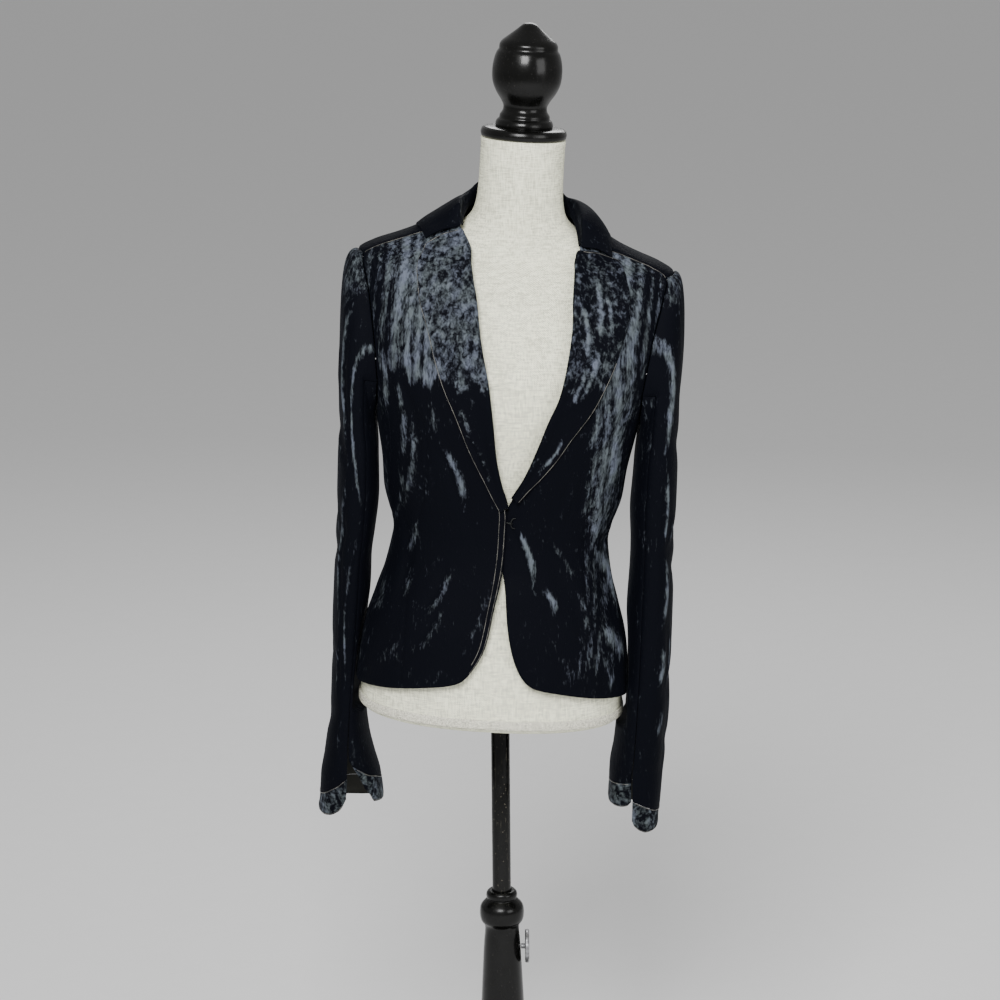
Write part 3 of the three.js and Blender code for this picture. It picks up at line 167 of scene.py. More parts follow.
SLEEVE_OVER = table(
    "z out inn mid deep",
    (-142, 195, 119, 4, 47), (-97, 195, 124, 6, 49), (-70, 192, 133, 8, 51), (-45, 190, 140, 11, 53),
    (-10, 187.5, 145, 15, 55), (50, 188.5, 146, 18, 57), (110, 190, 147, 14, 58), (165, 190, 147, 8, 59),
    (205, 190, 144, 4, 60), (250, 190.5, 142, 0, 61), (300, 191.5, 143, -2, 63), (345, 192.5, 149, 0, 65),
    (392, 194.5, 150, 1, 66),
)
SLEEVE_UNDER = table(
    "z out inn mid deep",
    (-142, 203, 147, -2, 47), (-97, 206, 145, -1, 49), (-65, 206.3, 144, 0, 51), (-40, 206.4, 146, -2, 53),
    (15, 207, 148, -6, 55), (60, 206, 150, -6, 57), (110, 204, 151, -4, 58), (150, 203, 151, -2, 59),
    (205, 200.5, 150, 0, 60), (256, 199.5, 147, 0, 61), (300, 198, 147, 0, 63), (345, 196, 150, 0, 65),
    (392, 194.5, 151, 1, 66),
)
CUFF_OVER = table(
    "w top low",
    (0, -88, -112), (0.02, -92, -122), (0.05, -98, -130), (0.1, -105, -136), (0.16, -112, -138),
    (0.25, -117, -138), (0.4, -117, -139), (0.55, -114, -138), (0.66, -108, -133), (0.77, -98, -124),
    (0.86, -88, -119), (0.93, -84, -117), (0.97, -79, -112), (1, -74, -102),
)
CUFF_UNDER = table(
    "w top low",
    (0, -95, -118), (0.02, -97, -126), (0.05, -100, -131), (0.1, -104, -134), (0.16, -108, -134),
    (0.25, -111, -133), (0.4, -108, -131), (0.55, -100, -125), (0.66, -94, -118), (0.77, -85, -110),
    (0.86, -79, -107), (0.93, -77, -106), (0.97, -76, -104), (1, -75, -98),
)

# Large creases in panel fractions (across, up), as soft troughs.
OVER_FOLDS = table(
    "au av bu bv wide deep",
    (0.34, 0.52, 0.16, 0.34, 0.045, 1.6), (0.62, 0.62, 0.56, 0.44, 0.05, 2.2),
    (0.86, 0.40, 0.60, 0.22, 0.06, 2.6), (0.60, 0.16, 0.74, 0.33, 0.05, 1.8),
)
UNDER_FOLDS = table(
    "au av bu bv wide deep",
    (0.20, 0.40, 0.42, 0.20, 0.05, 2.2), (0.96, 0.36, 0.70, 0.16, 0.05, 2.6),
    (0.96, 0.26, 0.78, 0.08, 0.045, 2.2), (0.74, 0.62, 0.80, 0.42, 0.05, 2.0),
)
BACK_FOLDS = table(
    "au av bu bv wide deep",
    (0.30, 0.34, 0.80, 0.26, 0.035, 1.8), (0.42, 0.41, 0.92, 0.38, 0.03, 1.6),
    (0.55, 0.20, 0.85, 0.08, 0.04, 1.6),
)
SIDE_FOLDS = table(
    "au av bu bv wide deep",
    (0.0, 0.62, 0.9, 0.50, 0.05, 1.6), (0.1, 0.40, 1.0, 0.44, 0.05, 1.4),
)
SLEEVE_FOLDS = table(
    "z rise wide deep",
    (318, 34, 15, 2.2), (232, -26, 13, 2.6), (176, 30, 12, 2.4), (62, -30, 14, 2.0), (-30, 24, 12, 1.6),
)

# Creases of the finished cloth, from a to b across and up a piece, in millimetres of the form: half
# width, height of the crest and how bright a highlight is painted along it.
CREASE = "ax az bx bz wide high shine"
OVER_CREASES = table(
    CREASE,
    (-72, 330, -44, 268, 4.5, 1.5, 1.0), (-43, 350, -23, 320, 3.5, 0.7, 0.8),
    (-86, 301, -90, 256, 4.0, 0.9, 0.25), (-53, 188, -80, 130, 4.0, 1.3, 0.55),
    (-61, 140, -91, 84, 4.0, 1.1, 0.45), (-13, 172, -43, 80, 4.5, 1.1, 0.42),
    (-88, 380, -83, 334, 3.5, 0.8, 0.5), (-108, 362, -115, 239, 5.0, 1.3, 0.55),
    (-128, 160, -141, 116, 4.5, 1.1, 0.45), (-100, 182, -107, 144, 3.5, 0.8, 0.5),
    (-118, 300, -124, 216, 3.5, 1.0, 0.55), (-96, 232, -106, 190, 3.5, 0.9, 0.55),
    (-150, 447, -141, 330, 4.0, 1.2, 0.8), (-128, 402, -117, 296, 4.5, 1.2, 0.6),
    (-58, 70, -96, 48, 6.0, 0.7, 0.3), (-112, 96, -132, 62, 6.0, 0.9, 0.32),
)
UNDER_CREASES = table(
    CREASE,
    (17, 238, 40, 170, 4.0, 1.4, 0.95), (48, 172, 68, 138, 4.5, 1.3, 0.85),
    (53, 222, 84, 180, 3.5, 0.9, 0.5), (86, 170, 106, 110, 4.5, 1.2, 0.6),
    (104, 212, 142, 126, 7.0, 2.0, 0.95), (117, 124, 148, 74, 7.0, 1.8, 0.9),
    (92, 300, 90, 250, 3.5, 1.0, 0.6), (108, 280, 98, 200, 4.5, 1.3, 0.75),
    (98, 390, 92, 328, 5.0, 1.1, 0.75), (124, 92, 136, 44, 5.0, 1.2, 0.6),
    (78, 296, 64, 250, 4.0, 0.8, 0.3), (120, 384, 112, 300, 6.0, 1.2, 0.9),
    (66, 100, 92, 60, 6.0, 0.7, 0.25),
)
BACK_CREASES = table(
    CREASE,
    (20, 232, 96, 214, 5.0, 1.2, 0.5), (30, 196, 104, 176, 5.5, 1.3, 0.5),
    (44, 262, 108, 250, 4.5, 1.0, 0.45),
    (70, 150, 118, 96, 6.0, 1.2, 0.5), (24, 150, 60, 92, 6.0, 0.8, 0.3), (112, 330, 96, 270, 5.0, 1.0, 0.5),
    (128, 440, 104, 372, 6.0, 1.2, 0.6), (64, 470, 40, 396, 6.0, 0.7, 0.4), (14, 330, 18, 262, 5.0, 0.8, 0.4),
)
# Sleeve creases, across from the front seam in millimetres of cloth, and up.
OVER_SLEEVE_CREASES = table(
    CREASE,
    (6, 470, 7, 232, 2.6, 1.0, 0.85), (8, 216, 9, 20, 2.6, 0.9, 0.6), (34, 486, 30, 300, 3.6, 1.5, 0.8),
    (30, 280, 33, 96, 3.4, 1.3, 0.6), (31, 84, 28, 10, 3.4, 1.0, 0.4), (10, -4, 12, -70, 3.2, 0.8, 0.3),
    (58, 330, 42, 286, 6.0, 1.2, 0.3), (64, 236, 40, 204, 6.0, 1.4, 0.3), (70, 70, 44, 44, 6.0, 1.1, 0.25),
    (96, 320, 90, 130, 6.0, 1.2, 0.5), (122, 260, 118, 90, 6.0, 1.0, 0.45), (54, 430, 60, 372, 5.0, 1.0, 0.3),
)
UNDER_SLEEVE_CREASES = table(
    CREASE,
    (19, 470, 22, 318, 6.5, 1.5, 1.0), (26, 306, 28, 214, 3.2, 1.2, 0.85), (34, 208, 30, 112, 5.0, 1.4, 0.85),
    (36, 100, 26, 46, 5.5, 1.3, 0.8), (34, 30, 30, -22, 4.5, 1.0, 0.55), (62, 470, 60, 60, 5.0, 1.3, 0.8),
    (58, 44, 56, -70, 6.0, 1.1, 0.45), (48, 250, 44, 216, 4.0, 1.0, 0.5), (50, 120, 46, 40, 4.0, 1.0, 0.6),
    (92, 330, 88, 120, 6.0, 1.2, 0.5), (120, 250, 116, 60, 6.0, 1.0, 0.4),
)
OVER_LAPEL_CREASES = table(
    CREASE,
    (-84, 521, -68, 462, 6.0, 0.9, 0.5), (-60, 384, -42, 340, 4.0, 0.7, 0.45),
    (-41, 344, -16, 284, 2.6, 0.8, 0.4),
    (-96, 470, -84, 424, 4.5, 0.8, 0.5), (-66, 440, -54, 404, 4.5, 0.6, 0.4),
)
UNDER_LAPEL_CREASES = table(
    CREASE,
    (84, 532, 96, 452, 4.5, 1.5, 1.0), (96, 452, 74, 386, 4.5, 1.2, 0.9), (98, 509, 108, 456, 4.0, 1.2, 0.85),
    (72, 500, 82, 430, 4.0, 1.2, 0.9), (82, 430, 62, 376, 4.0, 1.0, 0.8), (62, 350, 36, 306, 2.2, 0.8, 0.85),
)
# Seams inside a front, by place on the form: the dart and shaping seams run from the chest down.
OVER_SHAPING = table(
    "x z", (-103, 380), (-90, 330), (-88, 290), (-93, 250), (-98, 205), (-104, 150), (-106, 44),
)
UNDER_SHAPING = table("x z", (112, 350), (100, 290), (97, 250), (97, 200), (101, 140), (108, 52))

# The wire hook and its bar behind the break: reach from the centre, lift off the body and height.
HOOK = table(
    "x lift z",
    (-5, -2.98, 243), (0, -2.98, 243), (5, -2.98, 243), (9.5, -2.98, 243), (10.85, -1.6, 243),
    (9.5, -0.22, 243), (6.3, 0.1, 243.6),
)
HOOK_BAR = table(
    "x lift z",
    (14.1, -2.4, 249), (11.3, -2.0, 248.4), (9.5, -1.6, 245.6), (9.5, -1.6, 240.4),
    (11.3, -2.0, 237.6), (14.1, -2.4, 237),
)

# Turned pieces, radius and height in millimetres. The hand screw's heights run out from the column.
CAP = table("r z", (0, 662.3), (45, 662.3), (47.6, 664), (48.4, 668), (47.4, 672), (44, 674), (0, 674))
FINIAL = table(
    "r z",
    (0, 674.3), (32, 674.3), (32.4, 678), (31, 682), (28.5, 684.5), (28, 688), (25, 693), (24.6, 698),
    (27.5, 704), (33.5, 713), (37.8, 723), (39.2, 734), (38.4, 746), (35.5, 757), (33, 761), (32.6, 766),
    (30, 770), (24, 775), (14, 783), (6.5, 789), (0, 790.5),
)
POLE = table("r z", (0, 200), (10, 200), (11, 201), (11, 634.2), (0, 634.2))
COLUMN = table(
    "r z",
    (0, 28.3), (44, 28.3), (43, 34), (36, 42), (33.5, 60), (31.5, 120), (28.5, 200), (25.4, 270),
    (21.8, 340), (20.4, 362), (21.6, 366), (25.0, 371), (26.4, 380), (25.0, 389), (20.0, 395),
    (17.0, 397.5), (18.2, 400), (18.0, 405), (15.5, 408), (11.4, 408), (11.4, 60), (0, 60),
)
BASE = table(
    "r z", (0, 0), (168, 0), (172, 5), (172, 14), (168, 19), (156, 22), (70, 26.5), (52, 28), (0, 28),
)
SCREW = table(
    "r z", (0, 22.6), (3.2, 22.6), (3.2, 27.2), (19, 27.2), (20, 28.2), (20, 31.2), (19, 32.2), (0, 32.2),
)

# The photograph's camera: place in metres, degrees downwards, degrees of roll and lens in millimetres.
CAMERA_PLACE = (0.002, -3.3, 1.683)
CAMERA_DOWN = 13.6
CAMERA_ROLL = -0.5
CAMERA_LENS = 106.1

# Soft lamps: name, place, watts and width.
LAMPS = (
    ("key", -0.5, -2.9, 3.0, 190, 1.3),
    ("fill", 2.3, -2.2, 1.9, 40, 1.6),
    ("back", 0.4, 2.6, 2.6, 30, 1.4),
)


def smooth(start, end, x):
    """0 before start, 1 after end, and an S-curve between them."""
    t = np.clip((x - start) / (end - start), 0, 1)
    return t * t * (3 - 2 * t)


def soft_max(a, b, blend):
    return (a + b + np.sqrt((a - b) ** 2 + blend * blend)) / 2


def lerp(a, b, t):
    return a + (b - a) * t


def column(rows, key, name):
    """A smooth reading of one column of a table against another."""
    xs, ys = rows[key], rows[name]
    rise = np.diff(ys) / np.diff(xs)
    slopes = np.empty_like(ys)
    slopes[0] = rise[0]
    slopes[-1] = 0
    left, right = rise[:-1], rise[1:]
    turning = left * right <= 0
    slopes[1:-1] = np.where(turning, 0, 2 * left * right / np.where(turning, 1, left + right))

    def read(x):
        i = np.searchsorted(xs[1:-1], x, side="left")
        step = xs[i + 1] - xs[i]
        t = np.clip((x - xs[i]) / step, 0, 1)
        t2, t3 = t * t, t * t * t
        return (ys[i] * (2 * t3 - 3 * t2 + 1) + slopes[i] * step * (t3 - 2 * t2 + t)
                + ys[i + 1] * (3 * t2 - 2 * t3) + slopes[i + 1] * step * (t3 - t2))

    return read


def spline(points):
    """A curve through points by its share from 0 to 1 of the way between them."""
    points = np.array(points, float)
    last = len(points) - 1

    def read(t):
        place = np.clip(t, 0, 1) * last
        i = np.minimum(np.floor(place).astype(int), last)
        w = (place - i)[..., None]
        before, here = points[np.maximum(i - 1, 0)], points[i]
        there, after = points[np.minimum(i + 1, last)], points[np.minimum(i + 2, last)]
        v0, v1 = (there - before) / 2, (after - here) / 2
        return ((2 * here - 2 * there + v0 + v1) * w ** 3
                + (-3 * here + 3 * there - 2 * v0 - v1) * w ** 2 + v0 * w + here)

    return read


def even(curve):
    """The same curve by its share of the length."""
    steps = np.linspace(0, 1, 401)
    gone = np.concatenate([[0], np.cumsum(np.linalg.norm(np.diff(curve(steps), axis=0), axis=1))])
    return lambda t: curve(np.interp(np.clip(t, 0, 1) * gone[-1], gone, steps))


def path(turns, heights):
    """An edge on the body: turn and height by the share of its length."""
    curve = even(spline(np.stack([np.asarray(turns, float) * TURN_MM, heights], -1)))

    def read(t):
        found = curve(np.asarray(t, float))
        return found[..., 0] / TURN_MM, found[..., 1]

    return read


def chain(*stretches):
    """One edge out of several, each (edge, from, to, backwards)."""

    def read(v):
        v = np.asarray(v, float)
        turn, height = np.zeros(v.shape), np.zeros(v.shape)
        left = np.ones(v.shape, bool)
        for edge, start, end, backwards in stretches:
            last = edge is stretches[-1][0] and end == stretches[-1][2]
            here = left if last else left & (v <= end + 1e-9)
            t = np.clip((v - start) / (end - start), 0, 1)
            found = edge(1 - t if backwards else t)
            turn, height = np.where(here, found[0], turn), np.where(here, found[1], height)
            left = left & ~here
        return turn, height

    return read


def patch(bottom, top, left, right):
    """A blend of four edges."""
    corner = [bottom(0.0), bottom(1.0), top(0.0), top(1.0)]

    def read(u, v):
        low, high, near, far = bottom(u), top(u), left(v), right(v)
        return [(1 - v) * low[k] + v * high[k] + (1 - u) * near[k] + u * far[k]
                - (1 - u) * (1 - v) * corner[0][k] - u * (1 - v) * corner[1][k]
                - (1 - u) * v * corner[2][k] - u * v * corner[3][k] for k in (0, 1)]

    return read


def sag_at(x, z):
    """How much lower the wearer's left shoulder hangs here."""
    return SAG * smooth(45, 105, x) * smooth(440, 520, z)


class Sections:
    """Rounded sections stacked by height. Turn 0 is the centre front and 90 degrees is at +X."""

    def __init__(self, rows):
        self.side = column(rows, "z", "side")
        self.front = column(rows, "z", "front")
        self.back = column(rows, "z", "back")

    def at(self, turn, z):
        s, c = np.sin(turn), np.cos(turn)
        x = self.side(z) * np.sign(s) * np.abs(s) ** (2 / ROUND)
        reach = np.where(c > 0, self.front(z), self.back(z))
        y = -reach * np.sign(c) * np.abs(c) ** (2 / ROUND)
        return np.stack([x, y, z - sag_at(x, z)], -1)

    def turn_at_x(self, x, z):
        ratio = np.minimum(np.abs(x) / self.side(z), 1)
        return np.sign(x) * np.arcsin(ratio ** (ROUND / 2))

    def turn_at_y(self, y, z):
        ratio = np.minimum(np.abs(y) / np.where(y < 0, self.front(z), self.back(z)), 1)
        turn = np.arccos(ratio ** (ROUND / 2))
        return np.where(y < 0, turn, math.pi - turn)

    def width_at(self, y, z):
        ratio = np.minimum(np.abs(y) / np.where(y < 0, self.front(z), self.back(z)), 1)
        return self.side(z) * (1 - ratio ** ROUND) ** (1 / ROUND)

    def raised(self, turn, z, lift):
        """A point of the surface, moved out by lift."""
        turn, z = np.broadcast_arrays(np.asarray(turn, float), np.asarray(z, float))
        across = self.at(turn + 0.004, z) - self.at(turn - 0.004, z)
        up = self.at(turn, z + 0.8) - self.at(turn, z - 0.8)
        normal = np.cross(across, up)
        normal /= np.linalg.norm(normal, axis=-1, keepdims=True)
        return self.at(turn, z) + normal * np.asarray(lift, float)[..., None]


body = Sections(JACKET)
torso = Sections(TORSO)


def reach_points(rows, side):
    x = rows["out"] * side
    z = rows["z"] + sag_at(x, rows["z"] + SAG)
    return body.turn_at_x(x, z), z


def depth_points(rows, side):
    return side * body.turn_at_y(rows["y"], rows["z"]), rows["z"]


def joined(*points):
    return path(np.concatenate([np.atleast_1d(p[0]) for p in points]),
                np.concatenate([np.atleast_1d(p[1]) for p in points]))


class Seams:
    """The seams of one side of the jacket."""

    def __init__(self, shoulder, side):
        self.side = side
        turns, heights = reach_points(shoulder, side)
        end = (turns[-1], heights[-1])
        self.neck = (turns[0], heights[0])
        self.shoulder = path(turns, heights)
        self.side_seam = path(*depth_points(SIDE_SEAM, side))
        self.arm_front = joined(depth_points(ARM_FRONT, side), end)
        self.arm_back = joined(end, depth_points(ARM_BACK, side))
        self.arm_scoop = path(*depth_points(ARM_SCOOP, side))
        self.back_seam = path(*depth_points(BACK_SEAM_LINE, side))


over_seams = Seams(OVER_SHOULDER, -1)
under_seams = Seams(UNDER_SHOULDER, 1)


def troughs(u, v, folds):
    """Soft troughs of a table in panel fractions."""
    total = np.zeros(np.broadcast(u, v).shape)
    for au, av, bu, bv, wide, deep in zip(*folds.values()):
        du, dv = bu - au, bv - av
        t = np.clip(((u - au) * du + (v - av) * dv) / (du * du + dv * dv), 0, 1)
        gap = np.hypot(u - au - du * t, v - av - dv * t) / wide
        ends = np.sin(math.pi * np.clip(t, 0.06, 0.94)) ** 0.5
        total -= deep * ends * np.exp(-gap * gap)
    return total


def along_line(x, z, ax, az, bx, bz):
    """The share of the way along a slightly bowed line, and the distance off it."""
    dx, dz = bx - ax, bz - az
    length = math.hypot(dx, dz)
    t = ((x - ax) * dx + (z - az) * dz) / length ** 2
    off = ((x - ax) * dz - (z - az) * dx) / length
    return t, off + 0.06 * length * np.sin(math.pi * np.clip(t, 0, 1))


def creases(x, z, rows):
    """Height of a table's creases, each a crest with a hollow beside it, and the highlight painted along each
    crest.
    """
    height, shine = np.zeros(x.shape), np.zeros(x.shape)
    for ax, az, bx, bz, wide, high, bright in zip(*rows.values()):
        t, off = along_line(x, z, ax, az, bx, bz)
        ends = smooth(-0.12, 0.3, t) * smooth(1.12, 0.7, t)
        crest = ends * np.exp(-(off / wide) ** 2)
        height += high * (crest - 0.75 * ends * np.exp(-((off - 1.7 * wide) / (1.2 * wide)) ** 2))
        shine = np.maximum(shine, bright * crest)
    return height, shine


def seam_dip(away, along, deep=0.9):
    """A seam's valley with small puckers beside it, by the distance from the seam and along it."""
    pucker = 0.32 * np.sin(along / 1.5 + 1.9 * np.sin(along / 6.7))
    return -deep * np.exp(-(away / 2.4) ** 2) + pucker * np.exp(-((away - 3.6) / 3.0) ** 2)


def turned_edge(away):
    """A turned edge: slightly full just inside it, and rounded off at it."""
    return 0.35 * np.exp(-((away - 5) / 3) ** 2) - 0.7 * np.exp(-(away / 1.6) ** 2)


def front_shape(edge, seams, folds, sunk):
    """Places a front: across from its own edge to the side, and up from hem to shoulder."""
    side = seams.side
    inner_turns, inner_heights = reach_points(edge, side)
    outer = chain((seams.side_seam, 0, FRONT_ARM, False), (seams.arm_front, FRONT_ARM, 1, False))
    foot = outer(0.0)
    reach = FRONT_HEM["reach"]
    hem = path(lerp(inner_turns[0], foot[0], reach), lerp(inner_heights[0], foot[1], reach) + FRONT_HEM["z"])
    flat = patch(hem, seams.shoulder, path(inner_turns, inner_heights), outer)

    def place(across, up):
        u, v = across * 0.9972, up * 0.9976
        turn, z = flat(u, v)
        gather = (smooth(0.8, 0.965, v) ** 1.4 * smooth(0.997, 0.978, v) * smooth(0.4, 0.5, u)
                  * smooth(1.0, 0.97, u))
        wave = 0.5 - 0.5 * np.cos((u - 0.42) / 0.58 * 2 * math.pi * GATHERS)
        shift = 0.3 * np.sin(u * 17) + 0.7
        rim = smooth(0, 0.05, u) * smooth(1, 0.95, u) * smooth(0, 0.04, v)
        lift = -GATHER_DEPTH * gather * wave * shift + troughs(u, v, folds) * rim
        if sunk:
            x = body.at(turn, z)[..., 0] * side
            lift -= UNDERLAP * smooth(44, 7, x) * smooth(150, 185, z) * smooth(330, 285, z)
        return body.raised(turn, z, lift)

    return place


def side_shape(seams):
    """Places a side panel: across from the front's seam to the back's, and up to the armhole."""
    low_front, low_back = seams.side_seam(0.0), seams.back_seam(0.0)
    hem = path([low_front[0], (low_front[0] + low_back[0]) / 2, low_back[0]],
               [low_front[1], HEM_SIDE, low_back[1]])
    flat = patch(hem, seams.arm_scoop, seams.side_seam, seams.back_seam)

    def place(across, up):
        u = 0.0036 + across * 0.9928
        turn, z = flat(u, up)
        rim = smooth(0, 0.1, u) * smooth(1, 0.9, u) * smooth(0, 0.04, up)
        return body.raised(turn, z, troughs(u, up, SIDE_FOLDS) * rim)

    return place


def back_shape(seams):
    """Places a back: across from the centre seam, and up from the hem to the neck."""
    outer = chain((seams.back_seam, 0, BACK_NOTCH, False), (seams.arm_back, BACK_NOTCH, BACK_TIP, True),
                  (seams.shoulder, BACK_TIP, 1, True))
    centre = seams.side * (math.pi - SEAM * 0.6 / TURN_MM)
    foot = outer(0.0)
    rise = column(CENTRE_BACK, "v", "z")
    hem = path([centre, lerp(centre, foot[0], 0.5), foot[0]], [HEM_BACK, HEM_SIDE + 3, foot[1]])
    neck = seams.neck
    top = path([centre, lerp(centre, neck[0], 0.3), lerp(centre, neck[0], 0.62), neck[0]],
               [BACK_NECK_Z, BACK_NECK_Z - 3, BACK_NECK_Z - 9, neck[1]])
    flat = patch(hem, top, lambda v: (np.full(np.shape(v), centre), rise(np.asarray(v, float))), outer)

    def place(across, up):
        u = across * (0.9976 - 0.0012 * smooth(0.78, 0.84, up))
        turn, z = flat(u, up)
        rim = smooth(0, 0.06, u) * smooth(1, 0.94, u) * smooth(0, 0.04, up)
        return body.raised(turn, z, troughs(u, up, BACK_FOLDS) * rim)

    return place


def lapel_shape(roll, edge, gorge, side):
    """Places a lapel: across from its roll line to its outer edge, and up to the notch."""
    inner_turns, inner_heights = reach_points(roll, side)
    outer_turns, outer_heights = reach_points(edge, side)
    gorge_turns, gorge_heights = reach_points(gorge, side)
    top = joined((inner_turns[-1], inner_heights[-1]), (gorge_turns, gorge_heights),
                 (outer_turns[-1], outer_heights[-1]))
    low_turns = [inner_turns[0], (inner_turns[0] + outer_turns[0]) / 2, outer_turns[0]]
    low_heights = [inner_heights[0], (inner_heights[0] + outer_heights[0]) / 2, outer_heights[0]]
    flat = patch(path(low_turns, low_heights), top, path(inner_turns, inner_heights),
                 path(outer_turns, outer_heights))

    def place(u, v):
        reach = np.maximum((u - 0.1) / 0.9, 0)
        turn, z = flat(reach, v)
        soft = 1.6 * smooth(0.34, 0, reach) * smooth(0, 0.15, v)
        over = (1 - np.minimum(u / 0.1, 1)) * math.pi / 2
        aside = side * 2.6 * np.sin(over) / TURN_MM
        return body.raised(turn - aside, z, LAP + WALL + soft - 3.4 * (1 - np.cos(over)))

    return place


def curve_through(points, t):
    """A smooth curve through points, whose second last axis counts them, at shares t."""
    count = points.shape[-2]
    place = np.asarray(t, float) * (count - 1)
    i = np.minimum(np.floor(place).astype(int), count - 2)
    w = (place - i)[..., None]
    before = 2 * points[..., :1, :] - points[..., 1:2, :]
    after = 2 * points[..., -1:, :] - points[..., -2:-1, :]
    run = np.broadcast_to(np.concatenate([before, points, after], -2), i.shape + (count + 2, 3))

    def taken(k):
        place_in_run = np.broadcast_to((i + k)[..., None, None], i.shape + (1, 3))
        return np.take_along_axis(run, place_in_run, -2)[..., 0, :]

    def root_length(a, b):
        return np.linalg.norm(b - a, axis=-1, keepdims=True) ** 0.5

    p0, p1, p2, p3 = taken(0), taken(1), taken(2), taken(3)
    d0, d1, d2 = root_length(p0, p1), root_length(p1, p2), root_length(p2, p3)
    t1 = ((p1 - p0) / d0 - (p2 - p0) / (d0 + d1) + (p2 - p1) / d1) * d1
    t2 = ((p2 - p1) / d1 - (p3 - p1) / (d1 + d2) + (p3 - p2) / d2) * d1
    return (p1 + t1 * w + (-3 * p1 + 3 * p2 - 2 * t1 - t2) * w ** 2 + (2 * p1 - 2 * p2 + t1 + t2) * w ** 3)


def clear_of_body(point, room):
    """Raises points in small steps until they lie room above the body's outer face."""
    point = point.copy()
    risen = np.zeros(point.shape[:-1], bool)
    for step, tries in ((0.25, 60), (-0.02, 13)):
        for _ in range(tries):
            z = point[..., 2] - room
            free = (z > 590) | (np.abs(point[..., 0]) > body.width_at(point[..., 1], z) + 0.01)
            move = ~free if step > 0 else free & risen
            point[..., 2] += step * move
            risen = risen | move
    return point


COLLAR_CREST = np.stack([COLLAR["cx"], COLLAR["cy"], COLLAR["cz"]], -1)
COLLAR_EDGE = body.raised(np.radians(COLLAR["turn"]), COLLAR["ez"], LAP + COLLAR_WALL + 0.4)
COLLAR_ROWS = len(COLLAR["turn"])
COLLAR["row"] = np.arange(COLLAR_ROWS, dtype=float)
stand_depth = column(COLLAR, "row", "stand")


def collar_shape(u, v):
    """Places the collar: u runs round the neck and v from the fall's edge over the crest and down inside."""
    edge = curve_through(COLLAR_EDGE, u)
    top = curve_through(COLLAR_CREST, u)
    stand = stand_depth(u * (COLLAR_ROWS - 1))
    inward = np.stack([-top[..., 0], 12 - top[..., 1], 0 * u], -1)
    inward /= np.linalg.norm(inward, axis=-1, keepdims=True)
    drop = (top - edge)[..., 2:]
    half = lerp(edge, top, 0.52) - 0.07 * drop * inward
    half[..., 2] += 0.5
    half = clear_of_body(half, LAP + COLLAR_WALL + 1.2)
    shoulder = top - 1.6 * inward
    shoulder[..., 2] -= 3.5
    shoulder = clear_of_body(shoulder, LAP + COLLAR_WALL + 1.2)
    inside = top + 4.4 * inward
    inside[..., 2] -= 2.2
    root = top + 5.0 * inward
    root[..., 2] -= 2.6 + stand
    section = np.stack([edge, half, shoulder, top + 1.6 * inward, inside, root], -2)
    return curve_through(section, v)


def bezier(foot, c1, c2, end, t):
    """A cubic curve from foot to end."""
    t = t[..., None]
    return foot * (1 - t) ** 3 + 3 * c1 * t * (1 - t) ** 2 + 3 * c2 * t * t * (1 - t) + end * t ** 3


